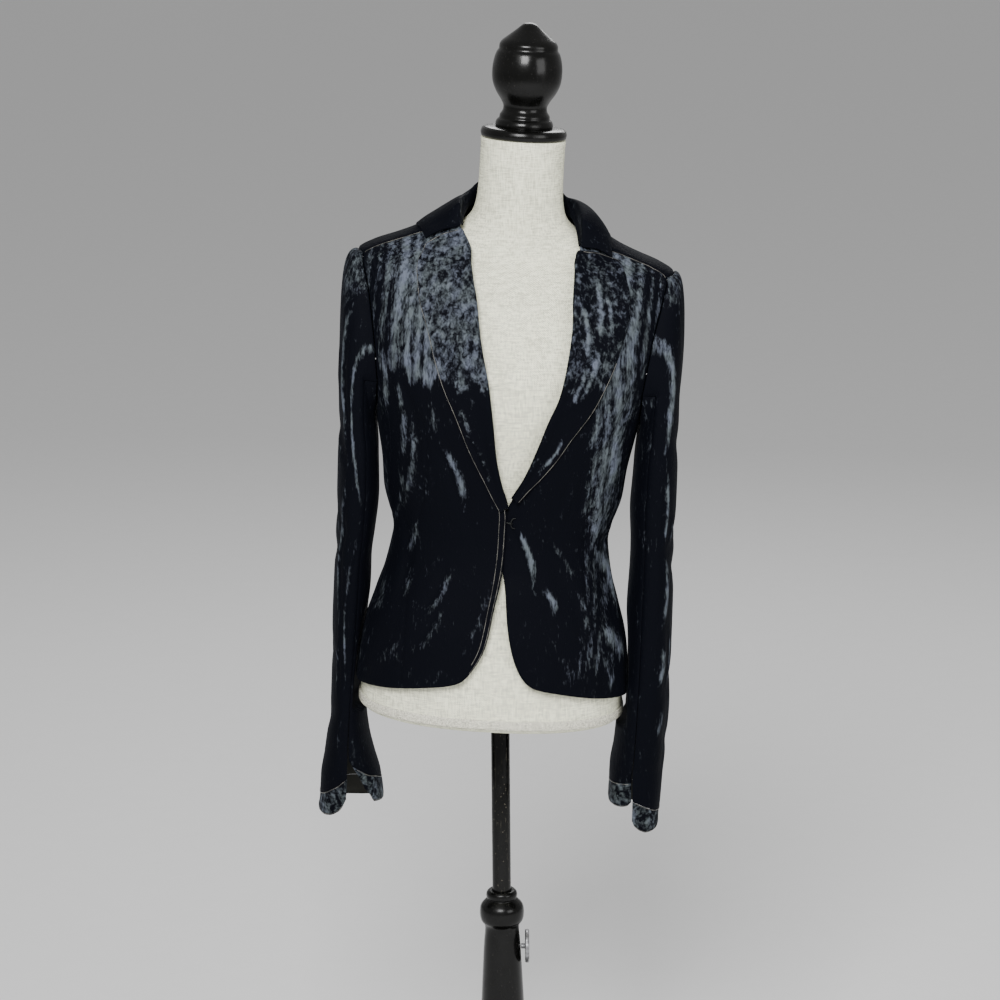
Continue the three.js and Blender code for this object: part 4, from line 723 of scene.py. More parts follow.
class Sleeve:
    """One sleeve with its cuff."""

    def __init__(self, rows, cuff, seams, seam_turn, vent, spread, head):
        self.reads = [column(rows, "z", name) for name in ("out", "inn", "mid", "deep")]
        self.cuff_top, self.cuff_low = column(cuff, "w", "top"), column(cuff, "w", "low")
        self.seams, self.side = seams, seams.side
        self.low, self.vent, self.spread, self.head = math.radians(seam_turn), vent, spread, head
        self.rim = chain((seams.arm_front, 0, HEAD, False), (seams.arm_back, HEAD, 1, False))

    def tube(self, turn, z):
        """The tube's outer face. Turn 0 faces the front, 90 degrees faces away from the body."""
        out, inn, mid, deep = (read(z) for read in self.reads)
        s, c = np.sin(turn), np.cos(turn)
        y = mid - deep * np.sign(c) * np.abs(c) ** (2 / 2.4)
        x = (out + inn) / 2 + (out - inn) / 2 * np.sign(s) * np.abs(s) ** (2 / 2.4)
        for at, rise, wide, deep_fold in zip(*SLEEVE_FOLDS.values()):
            gap = (z - at - rise * c) / wide
            x = x - deep_fold * np.exp(-gap * gap) * np.maximum(s, 0)
        hug = np.where(z > -30, body.width_at(y, np.maximum(z, 12)) + 2.6, 0)
        return np.stack([self.side * soft_max(x, hug * smooth(-30, -5, z), 3), y, z], -1)

    def round(self, w, z):
        """The tube by the way round from the front seam outward, with the vent above the cuff."""
        start = lerp(self.low, FRONT_SEAM, smooth(-97, 160, z))
        turn = np.where(w < BACK_W, lerp(start, BACK_SEAM, w / BACK_W),
                        lerp(BACK_SEAM, start + 2 * math.pi, (w - BACK_W) / (1 - BACK_W)))
        drop = np.clip((self.vent - z) / 44, 0, 1)
        part = np.minimum(drop * 2.2, 1)
        lead, trail = smooth(0.05, 0, w), smooth(0.86, 1, w)
        point = self.tube(turn + 0.05 * lead * drop - self.spread * trail * drop, z)
        point[..., 1] += 6.5 * trail * part - 2.5 * lead * part
        return point

    def upper(self, u, v):
        """Places the upper sleeve: across from the front seam to the back one, and up to the shoulder."""
        w = u * BACK_W
        low = self.round(w, lerp(self.cuff_top(w) + SEAM, CAP_Z, np.minimum(v / UPPER_TUBE, 1)))
        t = np.clip((v - UPPER_TUBE) / (1 - UPPER_TUBE), 0, 1)
        foot = self.round(w, np.full(np.shape(w), float(CAP_Z)))
        edge = body.raised(*self.rim(u), 0 * u)
        edge[..., 0] += self.side * 0.75
        edge[..., 2] += 0.3 * np.sin(math.pi * u)
        rise = np.maximum(edge[..., 2] - CAP_Z, 0)
        outward = np.sin(math.pi * np.clip(u, 0, 1)) ** 0.6
        bulge = lerp(17, self.head, outward ** 2) * outward
        c1 = foot + np.stack([self.side * 1.5 * outward, 0 * u, 1 + rise * 0.62], -1)
        c2 = edge + np.stack([self.side * (4 + bulge), (u - 0.5) * 9 * outward, 1.5 * outward], -1)
        point = bezier(foot, c1, c2, edge, t)
        gather = smooth(0.35, 0.9, t) * smooth(0.3, 0.4, u) * smooth(0.72, 0.62, u)
        wave = 0.5 - 0.5 * np.cos((u - 0.3) / 0.42 * 2 * math.pi * HEAD_GATHERS)
        point[..., 2] -= 1.5 * gather * wave * smooth(1.0, 0.94, t)
        return np.where((v <= UPPER_TUBE)[..., None], low, point)

    def under(self, u, v):
        """Places the under sleeve: across from the front seam to the back one, and up to the armpit."""
        w = lerp(1 - SEAM_W, BACK_W + SEAM_W, u)
        edge = body.raised(*self.seams.arm_scoop(u), 0 * u)
        ends = np.abs(2 * u - 1)
        edge[..., 0] += self.side
        edge[..., 2] -= 0.3 + 0.7 * ends ** 4
        z1 = lerp(edge[..., 2] - 22, CAP_Z, ends ** 6)
        low = self.round(w, lerp(self.cuff_top(w) + SEAM, z1, np.minimum(v / UNDER_TUBE, 1)))
        t = np.clip((v - UNDER_TUBE) / (1 - UNDER_TUBE), 0, 1)
        foot = self.round(w, z1)
        rise = edge[..., 2] - z1
        c1 = foot + np.stack([0 * u, 0 * u, rise * 0.5], -1)
        c2 = edge + np.stack([self.side * 1.2 + 0 * u, 0 * u, -rise * 0.3], -1)
        return np.where((v <= UNDER_TUBE)[..., None], low, bezier(foot, c1, c2, edge, t))

    def cuff(self, u, v):
        """Places the cuff: across from vent to vent, and up from its low edge to the sleeve."""
        w = u * CUFF_SPAN
        low, top = self.cuff_low(w), self.cuff_top(w) - SEAM
        point = self.round(w, lerp(low, top, v))
        swell = 1 + 0.02 * (1 - v)
        point[..., 0] = self.side * (160 + (self.side * point[..., 0] - 160) * swell)
        return point


def in_frame(points):
    """Points of the leaning form, in millimetres, as metres of the stand's frame."""
    c, s = math.cos(LEAN), math.sin(LEAN)
    x, y, z = points[..., 0], points[..., 1], points[..., 2]
    return np.stack([FORM_FOOT[0] + c * x + s * z, FORM_FOOT[1] + y, FORM_FOOT[2] - s * x + c * z], -1) * MM


right_sleeve = Sleeve(SLEEVE_OVER, CUFF_OVER, over_seams, 1, -66, 0.5, 17)
left_sleeve = Sleeve(SLEEVE_UNDER, CUFF_UNDER, under_seams, -9, -58, -0.06, 10)


def front_finish(rows, shaping, lapel, side_sheen):
    """Creases, seams and edges of a front, and the sheen painted on it."""

    def finish(u, v, p):
        x, z = p[:, 0], p[:, 2]
        height, shine = creases(x, z, rows)
        lapel_edge = np.interp(z, lapel["z"], lapel["out"])
        covered = smooth(lapel_edge + 4, lapel_edge - 4, np.abs(x)) * smooth(262, 276, z)
        streaks = 0.25 * np.sin(x / 1.9 + 1.4 * np.sin(z / 23) + np.sin(x / 11)) * smooth(380, 430, z)
        height = height + streaks
        height = np.where(height > 0, height * (1 - covered), height)
        low, high = shaping["z"].min(), shaping["z"].max()
        line = np.interp(z, shaping["z"][::-1], shaping["x"][::-1])
        height += smooth(high, high - 26, z) * smooth(low - 20, low, z) * seam_dip(np.abs(x - line), z, 0.8)
        height += seam_dip((1 - u) * 170, z) + 0.6 * seam_dip((1 - v) * 520, x)
        height += turned_edge(u * 170) + turned_edge(v * 520)
        # Painted sheen on the chest above the bust line, where it faces the lamps above: a ragged lower edge,
        # broken by streaks and fainter towards the side.
        ragged = 7 * np.sin(x / 9) + 4 * np.sin(x / 3.7) + 2 * np.sin(x / 1.3)
        sheen_streaks = 0.26 * np.sin(x / 2.1 + 1.6 * np.sin(z / 31) + 1.2 * np.sin(x / 8.3))
        upper_sheen = smooth(394, 412, z + ragged) * (0.9 + sheen_streaks - 0.45 * smooth(122, 150, np.abs(x)))
        # Painted sheen in a band down the side of the chest, on the front that is given it.
        band = smooth(88, 104, x) * smooth(150, 128, x)
        along = smooth(212, 262, z) + 0.55 * smooth(50, 80, z) * smooth(262, 212, z)
        return height, np.maximum(np.maximum(1.3 * shine, upper_sheen), side_sheen * band * (along + sheen_streaks))

    return finish


def lapel_finish(rows, gain):
    """Creases and turned edges of a lapel, and the sheen painted on it."""

    def finish(u, v, p):
        x, z = p[:, 0], p[:, 2]
        height, shine = creases(x, z, rows)
        inside = np.maximum((u - 0.1) / 0.9, 0)
        height += turned_edge((1 - inside) * (15 + 70 * np.minimum(v * 1.5, 1))) + turned_edge((1 - v) * 300)
        # Painted sheen on the lapel above the bust line, with a ragged lower edge; gain sets how bright.
        upper_sheen = smooth(388, 406, z + 5 * np.sin(x / 5) + 3 * np.sin(x / 1.9))
        return height, np.maximum(1.25 * shine, gain * upper_sheen)

    return finish


def back_finish(u, v, p):
    """Creases and seams of a back, and the sheen painted on it."""
    x, z = np.abs(p[:, 0]), p[:, 2]
    height, shine = creases(x, z, BACK_CREASES)
    height += seam_dip((1 - u) * 120, z) + 0.8 * seam_dip(u * 120, z) + turned_edge(v * 560)
    # Painted sheen across the shoulder blades.
    blade_sheen = smooth(396, 440, z) * smooth(524, 480, z)
    return height, np.maximum(shine, 0.6 * blade_sheen)


def side_finish(u, v, p):
    """Seams of a side panel, and a faint painted sheen on it."""
    z = p[:, 2]
    height = seam_dip(u * 96, z, 0.7) + seam_dip((1 - u) * 96, z, 0.7) + turned_edge(v * 350)
    height += 0.5 * np.sin(z / 13 + u * 3) * np.sin(math.pi * u) - 0.5
    # Painted sheen, even but for a slow wave with height.
    return height, 0.36 + 0.2 * np.sin(z / 31)


def upper_finish(rows, head):
    """Creases and seams of an upper sleeve, and the sheen painted on it."""

    def finish(u, v, p):
        across, z = u * 150, p[:, 2]
        height, shine = creases(across, z, rows)
        height += seam_dip(np.minimum(u, 1 - u) * 150, z, 0.7) * smooth(-64, -50, z)
        height += seam_dip((1 - v) * 700, across, 0.5)
        # Painted sheen over the sleeve's head, where its small gathers lie.
        top = smooth(head, head + 36, z + 10 * np.sin(across / 6)) * smooth(0.8, 0.62, u)
        gathers = 0.22 * top * np.sin(across / 1.7 + np.sin(z / 19))
        return height + gathers, np.maximum(1.3 * shine, 0.62 * top)

    return finish


def under_finish(u, v, p):
    """Seams of an under sleeve, with a faint even painted sheen."""
    z = p[:, 2]
    height = seam_dip(np.minimum(u, 1 - u) * 100, z, 0.7) * smooth(-64, -50, z)
    return height + 0.5 * np.sin(z / 17) * np.sin(math.pi * u) - 0.4, np.full(z.shape, 0.12)


def cuff_finish(u, v, p):
    """Turned edges and crushed pile of a cuff, with an even painted sheen."""
    around, up = u * 230, v * 24
    height = turned_edge(up) + turned_edge((1 - u) * 230)
    return height + 0.5 * np.sin(around / 7 + up / 9) * np.sin(math.pi * v), np.full(u.shape, 0.7)


def collar_finish(u, v, p):
    """Turned edge of the collar, with a painted highlight along its roll."""
    height = turned_edge(v * 62) + 0.3 * np.sin(u * 31) * np.sin(math.pi * v)
    return height, 0.08 + 0.4 * np.exp(-(((v - 0.5) * 62) / 5) ** 2)


def moved_grid(name, cells, place, over=True):
    """A grid of cells, its corners moved by place, with the way across and up kept as its UV map."""
    grid = bmesh.new()
    grid.loops.layers.uv.new("cloth")
    bmesh.ops.create_grid(grid, x_segments=cells[0], y_segments=cells[1], size=0.5, calc_uvs=True)
    if not over:
        bmesh.ops.reverse_faces(grid, faces=grid.faces)
    mesh = bpy.data.meshes.new(name)
    grid.to_mesh(mesh)
    grid.free()
    flat = np.empty(len(mesh.vertices) * 3, np.float32)
    mesh.vertices.foreach_get("co", flat)
    u, v = (np.clip(flat.reshape(-1, 3)[:, k].astype(float) + 0.5, 0, 1) for k in (0, 1))
    local = place(u, v)
    put(mesh, in_frame(local))
    return mesh, u, v, local


def put(mesh, points):
    """Puts a mesh's vertices at points."""
    mesh.vertices.foreach_set("co", points.astype(np.float32).ravel())
    mesh.update()


def normals_of(mesh):
    """The vertex normals of a mesh."""
    found = np.empty(len(mesh.vertices) * 3, np.float32)
    mesh.vertex_normals.foreach_get("vector", found)
    return found.reshape(-1, 3).astype(float)


def show(mesh, *materials):
    """A mesh's object in the scene, with its materials."""
    for material in materials:
        mesh.materials.append(material)
    mesh.shade_smooth()
    piece = bpy.data.objects.new(mesh.name, mesh)
    bpy.context.scene.collection.objects.link(piece)
    return piece


def soft_rim(piece, width, angle):
    """Rounds the sharp edges of a piece."""
    rim = piece.modifiers.new("rim", "BEVEL")
    rim.width, rim.segments, rim.profile = width * MM, 2, 0.5
    rim.limit_method, rim.angle_limit = "ANGLE", math.radians(angle)


def cloth(name, place, cells, over, finish, velvet_name, cut, thick=None):
    """A cloth piece in place of its solid: a creased sheet, thickened on its inner side."""
    looks = bpy.context.scene.blazer
    mesh, u, v, local = moved_grid(f"{name}_finished", cells, place, over)
    height, sheen = finish(u, v, local)
    put(mesh, in_frame(local) + normals_of(mesh) * (height * looks.crease * MM)[:, None])
    # Painted sheen: each vertex keeps how much pale sheen the velvet paints there.
    painted_sheen = mesh.attributes.new("painted_sheen", "FLOAT", "POINT")
    painted_sheen.data.foreach_set("value", sheen.astype(np.float32))
    piece = show(mesh, surface(velvet_name), surface("dull lining"))
    wall = piece.modifiers.new("wall", "SOLIDIFY")
    wall.thickness, wall.offset, wall.material_offset = thick or looks.wall, -1, 1
    soft_rim(piece, 0.5, 50)
    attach(piece, "form")
    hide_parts(name)
    width, length, share = cut
    width * MM
    length * MM
    share * width * length * MM * MM


def tube(name, points, radius, surface_name, roundness):
    """A thread or wire along points, made a mesh."""
    curve = bpy.data.curves.new(name, "CURVE")
    curve.dimensions, curve.bevel_depth, curve.bevel_resolution = "3D", radius, roundness
    curve.use_fill_caps = True
    run = curve.splines.new("POLY")
    run.points.add(len(points) - 1)
    run.points.foreach_set("co", np.concatenate([points, np.ones((len(points), 1))], 1).ravel())
    drawn = bpy.data.objects.new(name, curve)
    bpy.context.scene.collection.objects.link(drawn)
    mesh = bpy.data.meshes.new_from_object(drawn.evaluated_get(bpy.context.evaluated_depsgraph_get()))
    bpy.data.objects.remove(drawn)
    bpy.data.curves.remove(curve)
    mesh.name = name
    piece = show(mesh, surface(surface_name))
    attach(piece, "form")
    return piece


def thread(name, points):
    """A pale thread in a turned edge."""
    tube(name, points, bpy.context.scene.blazer.thread, "edge thread", 1)


def on_piece(part, u, v, proud):
    """Points along a front or lapel, proud of its creased outer face."""
    place, finish = part[1], part[3]
    u, v = (np.array(a) for a in np.broadcast_arrays(u, v))
    local = place(u, v)
    away = local * [1, 1, 0]
    away /= np.linalg.norm(away, axis=-1, keepdims=True)
    return in_frame(local + away * (finish(u, v, local)[0] + proud)[:, None])


def on_cuff(sleeve, u, v, proud):
    """Points round a cuff, proud of its outer face."""
    u, v = (np.array(a) for a in np.broadcast_arrays(u, v))
    local = sleeve.cuff(u, v)
    away = local - [sleeve.side * 160, 0, 0]
    away[:, 2] = 0
    away /= np.linalg.norm(away, axis=-1, keepdims=True)
    return in_frame(local + away * (cuff_finish(u, v, local)[0] + proud)[:, None])


def torso_place(u, v):
    """Places the torso's skin: once round, and up by even steps of its profile."""
    z = np.linspace(-4, 662, 800)
    gone = np.concatenate([[0], np.cumsum(np.hypot(np.diff(torso.side(z)), np.diff(z)))])
    return torso.at(2 * math.pi * u, np.interp(v * gone[-1], gone, z))


def braid_place(u, v):
    """Places the braid: once round the form's foot, and once round its own plaited section."""
    c, s = np.cos(2 * math.pi * v), np.sin(2 * math.pi * v)
    z = 7.5 - 5.5 * np.sign(c) * np.abs(c) ** 0.75
    point = torso.at(2 * math.pi * u, np.full(z.shape, 4.0))
    along = u * 880
    plait = (0.32 * np.sin(along * 1.75 + np.abs(z - 7.5) * 2.1) + 0.16 * np.sin(along * 4.1 + z * 1.7)
             + 0.14 * np.sin(along * 0.83 + 2 * np.sin(along * 0.19)))
    full = np.maximum(s, 0) ** 0.6
    away = point * [1, 1, 0]
    reach = np.linalg.norm(away, axis=-1, keepdims=True)
    point += away / reach * (SEAM + 0.15 + full * (1.65 + plait))[:, None]
    point[:, 2] = z + 0.25 * full * np.sin(along * 2.6)
    return point


def closed_piece(name, place, cells, surface_name):
    """A closed skin of the form: a grid rolled up, joined to itself and filled at its ends."""
    rolled = moved_grid(f"{name}_finished", cells, place)[0]
    skin = bmesh.new()
    skin.from_mesh(rolled)
    bmesh.ops.remove_doubles(skin, verts=skin.verts, dist=1e-6)
    bmesh.ops.holes_fill(skin, edges=[edge for edge in skin.edges if edge.is_boundary])
    bmesh.ops.recalc_face_normals(skin, faces=skin.faces)
    skin.to_mesh(rolled)
    skin.free()
    piece = show(rolled, surface(surface_name))
    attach(piece, "form")
    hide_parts(name)


def eased(rows):
    """A profile of radius and height with its soft stretches curved and its corners kept."""
    points = np.stack([rows["r"], np.zeros(rows["r"].shape), rows["z"]], -1)
    ways = np.diff(points, axis=0)
    ways /= np.linalg.norm(ways, axis=1, keepdims=True)
    bends = np.degrees(np.arccos(np.clip((ways[1:] * ways[:-1]).sum(1), -1, 1)))
    corners = [0, *(k + 1 for k, bend in enumerate(bends) if bend > 42), len(points) - 1]
    found = [points[:1]]
    for start, end in zip(corners, corners[1:]):
        share = np.linspace(0, 1, 4 * (end - start) + 1)[1:] if end - start > 1 else np.array([1.0])
        found.append(curve_through(points[start:end + 1], share))
    return np.concatenate(found)


def turned(name, rows, surface_name, body_name, placed=None):
    """A turned piece in place of its solid: a profile spun round its axis, then put in its place."""
    lathe = bmesh.new()
    profile = [lathe.verts.new(point * MM) for point in eased(rows)]
    edges = [lathe.edges.new(pair) for pair in zip(profile, profile[1:])]
    bmesh.ops.spin(lathe, geom=profile + edges, cent=(0, 0, 0), axis=(0, 0, 1), dvec=(0, 0, 0),
                   angle=2 * math.pi, steps=bpy.context.scene.blazer.steps, use_merge=True)
    bmesh.ops.remove_doubles(lathe, verts=lathe.verts, dist=1e-6)
    bmesh.ops.dissolve_degenerate(lathe, dist=1e-7, edges=lathe.edges)
    bmesh.ops.recalc_face_normals(lathe, faces=lathe.faces)
    if placed:
        lathe.transform(placed)
    mesh = bpy.data.meshes.new(f"{name}_finished")
    lathe.to_mesh(mesh)
    lathe.free()
    piece = show(mesh, surface(surface_name))
    soft_rim(piece, 0.6, 40)
    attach(piece, body_name)
    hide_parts(name)


class Value:
    """A number or vector in a material. Arithmetic on it adds Math nodes."""

    def __init__(self, bench, socket):
        self.bench, self.socket = bench, socket

    def math(self, operation, other=None, first=True):
        """A Math node on this value and another, this one first or second."""
        pair = (self, other) if first else (other, self)
        inputs = {i: value for i, value in enumerate(pair) if value is not None}
        return self.bench.node("ShaderNodeMath", {"operation": operation}, inputs)

    def __add__(self, other):
        return self.math("ADD", other)

    __radd__ = __add__

    def __sub__(self, other):
        return self.math("SUBTRACT", other)

    def __rsub__(self, other):
        return self.math("SUBTRACT", other, False)

    def __mul__(self, other):
        return self.math("MULTIPLY", other)

    __rmul__ = __mul__

    def wave(self):
        return self.math("SINE")

    def most(self, other):
        return self.math("MAXIMUM", other)

    def step(self, low, high):
        """0 below low, 1 above high, and an S-curve between them."""
        return self.bench.node("ShaderNodeMapRange", {"interpolation_type": "SMOOTHSTEP"},
                               {"Value": self, "From Min": low, "From Max": high})


class Bench:
    """The nodes of one material."""

    def __init__(self, name, **fixed):
        self.material = bpy.data.materials.new(name)
        self.material.use_nodes = True
        self.tree = self.material.node_tree
        self.shader = self.tree.nodes["Principled BSDF"]
        for socket, value in fixed.items():
            self.shader.inputs[socket.replace("_", " ")].default_value = value
        self.place = self.node("ShaderNodeTexCoord", out="Object")

    def node(self, kind, settings=None, inputs=None, out=0):
        made = self.tree.nodes.new(kind)
        for setting, choice in (settings or {}).items():
            setattr(made, setting, choice)
        for socket, value in (inputs or {}).items():
            self.feed(made.inputs[socket], value)
        return Value(self, made.outputs[out])

    def feed(self, socket, value):
        if isinstance(value, Value):
            self.tree.links.new(value.socket, socket)
        else:
            socket.default_value = value

    def finish(self, **fed):
        for socket, value in fed.items():
            self.feed(self.shader.inputs[socket.replace("_", " ")], value)
        return self.material

    def stretched(self, across, up):
        """Object coordinates with grain longer in height than across, given in millimetres."""
        return self.node("ShaderNodeMapping", inputs={
            "Vector": self.place, "Scale": (1 / (across * MM), 1 / (across * MM), 1 / (up * MM))})

    def noise(self, across, up=None, detail=2.0, distort=0.0):
        return self.node("ShaderNodeTexNoise", {"noise_dimensions": "3D"}, {
            "Vector": self.stretched(across, up or across), "Scale": 1.0, "Detail": detail,
            "Distortion": distort})

    def read(self, attribute):
        return self.node("ShaderNodeAttribute", {"attribute_name": attribute}, out="Fac")

    def blend(self, factor, one, other):
        """A colour between two."""
        return self.node("ShaderNodeMix", {"data_type": "RGBA"}, {"Factor": factor, 6: one, 7: other}, out=2)

    def bump(self, height, distance, strength=1.0):
        return self.node("ShaderNodeBump", inputs={
            "Height": height, "Distance": distance * MM, "Strength": strength})


def colour(values):
    """A material's colour, opaque."""
    return (*values[:3], 1.0)


def velvet(name, dark, pale, across, up, blotch, spots):
    """Crushed velvet: near black, with a pale sheen painted in its colour, broken into streaks and spots."""
    pile = Bench(name, Specular_IOR_Level=0.025, Sheen_Weight=0.01, Sheen_Roughness=0.4,
                 Sheen_Tint=colour((0.5, 0.58, 0.8)))
    streak = pile.noise(across, up, 5.0, 0.6)
    fine = pile.noise(across * 0.36, up * 0.3, 3.0, 0.3)
    spot = pile.noise(blotch, blotch * 1.25, 3.0, 0.8)
    cloud = pile.noise(blotch * 4.2, blotch * 5.5, 2.0)
    # Where to paint the sheen: the pieces' painted sheen, shifted and broken at random into streaks, spots,
    # fine grain and clouds.
    sheen = pile.read("painted_sheen") * 0.92 - 0.25 + (streak - 0.5) * 1.9 + (spot - 0.5) * spots
    sheen = sheen + (fine - 0.5) * 0.7 + (cloud - 0.5) * 0.8
    shine = sheen.step(0.08, 1.1)
    # The painted sheen colour, now greyer and now bluer at random, blended over the near-black velvet.
    tint = pile.noise(blotch * 2, blotch * 3, 2.0).step(0.35, 0.7)
    greyer = [0.9 * pale[0], 0.93 * pale[1], 0.78 * pale[2]]
    base = pile.blend(shine, colour(dark), pile.blend(tint, colour(greyer), colour(pale)))
    relief = streak * 0.6 + spot * 0.6 + fine * 0.3
    return pile.finish(Base_Color=base, Roughness=0.66 - 0.22 * shine, Normal=pile.bump(relief, 1.3, 0.6))


def plain_cloth(name, shade):
    """Dull lining."""
    twill = Bench(name, Specular_IOR_Level=0.2)
    grain = twill.noise(1.2, 3, 2.0)
    base = twill.blend(grain, colour(shade), colour([0.7 * c for c in shade]))
    return twill.finish(Base_Color=base, Roughness=0.8 + 0.1 * grain, Normal=twill.bump(grain, 0.2, 0.4))


def linen(name, shade, darker_tone_and_shade):
    """Plain woven linen. The weave follows the way round and up the form."""
    weave = Bench(name, Specular_IOR_Level=0.2)
    uv = weave.node("ShaderNodeUVMap", {"uv_map": "cloth"})
    around = weave.node("ShaderNodeSeparateXYZ", inputs={0: uv}, out="X")
    up = weave.node("ShaderNodeSeparateXYZ", inputs={0: uv}, out="Y")
    slub = weave.noise(11, 1.5, 2.0)
    slub_up = weave.noise(1.5, 11, 2.0)
    warp = (around * (2 * math.pi * 390) + slub * 3).wave()
    weft = (up * (2 * math.pi * 350) + slub_up * 3).wave()
    cross = warp * weft * 0.5 + 0.5
    cloudy = weave.noise(60, 60, 3.0).step(0.35, 0.75)
    threads = (slub - 0.5) * 0.9 + (slub_up - 0.5) * 0.9
    # Painted shade: the weave's crossings are darkened in a checker; slubs and large clouds shift it as the
    # thread's own uneven tone.
    weave_shade_and_tone = (0.9 * cross + threads * 2.2 + 0.2 * cloudy).step(-0.1, 1.35)
    base = weave.blend(weave_shade_and_tone, colour(shade), colour(darker_tone_and_shade))
    relief = weave.bump(warp * 0.4 + weft * 0.4 + slub + slub_up, 0.25, 0.6)
    return weave.finish(Base_Color=base, Roughness=0.86 + 0.1 * cross, Normal=relief)


def braid_cotton(name, shade, darker_tone_and_shade):
    """Coarse plaited cotton."""
    cotton = Bench(name, Specular_IOR_Level=0.2)
    lumps = cotton.node("ShaderNodeTexVoronoi", {"feature": "F1"}, {
        "Vector": cotton.stretched(1.3, 0.9), "Scale": 1.0, "Randomness": 0.8}, out="Distance")
    soil = cotton.noise(3.2, 1.6, 3.0).step(0.42, 0.7)
    # Painted shade in the gaps between the plait's lumps; the soil marks are dirt.
    gap = lumps.step(0.35, 0.75)
    base = cotton.blend((gap * 0.8).most(soil * 0.55), colour(shade), colour(darker_tone_and_shade))
    return cotton.finish(Base_Color=base, Roughness=0.85 + 0.1 * gap, Normal=cotton.bump(1 - lumps, 0.5, 0.8))


def black_gloss(name, shade, worn, scratched):
    """Black gloss paint with rubbed places and, on the pole, long scratches."""
    paint = Bench(name, Specular_IOR_Level=0.2, Coat_Weight=0.04, Coat_Roughness=0.12)
    smudge = paint.noise(14, 22, 4.0).step(0.4, 0.75)
    grain = paint.noise(1.3, 26 if scratched else 3.0, 3.0)
    scratch = paint.noise(0.9, 34 if scratched else 6, 2.0, 1.2).step(0.68, 0.76)
    chips = paint.noise(2.6, 3.4, 3.0).step(0.66, 0.7)
    mark = (scratch * (0.8 if scratched else 0.18)).most(chips * (0.5 if scratched else 0.12))
    base = paint.blend(mark, colour(shade), colour(worn))
    rough = 0.2 + 0.16 * smudge + 0.3 * mark + (grain - 0.5) * 0.08
    return paint.finish(Base_Color=base, Roughness=rough, Normal=paint.bump(grain * 0.4 - mark, 0.15, 0.4))


def grey_steel(name, shade, worn):
    """Dull turned steel."""
    steel = Bench(name, Metallic=0.85)
    grain = steel.noise(0.5, 4, 3.0)
    dull = steel.noise(5, 5, 3.0).step(0.4, 0.7)
    base = steel.blend(dull, colour(shade), colour(worn))
    return steel.finish(Base_Color=base, Roughness=0.32 + 0.25 * dull, Normal=steel.bump(grain, 0.06, 0.5))


def thread_line(name, shade, bare):
    """Worn turned edges and sewing thread."""
    thread = Bench(name, Specular_IOR_Level=0.3, Sheen_Weight=0.3)
    twist = thread.noise(1.2, 1.2, 2.0)
    worn = thread.noise(7, 11, 3.0).step(0.4, 0.62)
    base = thread.blend(worn * 0.8, colour(shade), colour(bare))
    return thread.finish(Base_Color=base, Roughness=0.6 + 0.2 * twist, Normal=thread.bump(twist, 0.15, 0.5))


def studio_floor(name, shade):
    """Matt paper, with a faint mottle."""
    paper = Bench(name, Specular_IOR_Level=0.1)
    mottle = paper.noise(40, 40, 3.0)
    base = paper.blend(mottle, colour(shade), colour([0.97 * c for c in shade]))
    return paper.finish(Base_Color=base, Roughness=0.85 + 0.1 * mottle)


def shade(name, values, about):
    """A colour that the user may change."""
    return bpy.props.FloatVectorProperty(name=name, description=about, default=values, subtype="COLOR",
                                         size=3, min=0, max=1)


class BlazerLooks(bpy.types.PropertyGroup):
    """Sizes and colours of the blazer, the form and the stand."""

    wall: bpy.props.FloatProperty(name="Cloth thickness", description="Velvet with its lining",
                                  default=WALL * MM, min=0.001, max=0.003, unit="LENGTH")
    collar_wall: bpy.props.FloatProperty(name="Collar thickness", description="Velvet of the collar",
                                         default=COLLAR_WALL * MM, min=0.001, max=0.003, unit="LENGTH")
    crease: bpy.props.FloatProperty(name="Crease height", description="Share of the creases' full height",
                                    default=1.0, min=0, max=1.5, subtype="FACTOR")
    thread: bpy.props.FloatProperty(name="Edge thread", description="Radius of the thread in turned edges",
                                    default=0.00026, min=0.0002, max=0.001, unit="LENGTH")
    steps: bpy.props.IntProperty(name="Turning steps", description="Sides of a turned piece",
                                 default=72, min=24, max=256)
    # The velvet is blended from the dark colour to the light one, which is a painted sheen; the cuffs' light
    # colour is a painted sheen too.
    dark: shade("Velvet, dark lay", (0.0022, 0.0026, 0.0045), "Pile that stands towards the camera")
    pale: shade("Velvet, light lay", (0.098, 0.112, 0.146), "Pile that lies towards the light")
    cuff_pale: shade("Cuff, light lay", (0.09, 0.104, 0.13), "Satin lay of the cuffs")
    lining: shade("Lining", (0.03, 0.03, 0.026), "Inside of the cloth")
    linen: shade("Linen", (0.9, 0.9, 0.7), "Woven cover of the form")
    braid: shade("Braid", (0.8, 0.78, 0.65), "Plaited band at the form's foot")
    edge: shade("Edge thread", (0.2, 0.19, 0.165), "Worn turned edges")
    black: shade("Black gloss", (0.002, 0.002, 0.0018), "Turned wood and the pole")
    steel: shade("Steel", (0.3, 0.3, 0.31), "Hand screw")
    wire: shade("Wire", (0.035, 0.037, 0.036), "Blackened hook and bar")
    floor: shade("Floor", (0.8, 0.8, 0.8), "Matt paper")


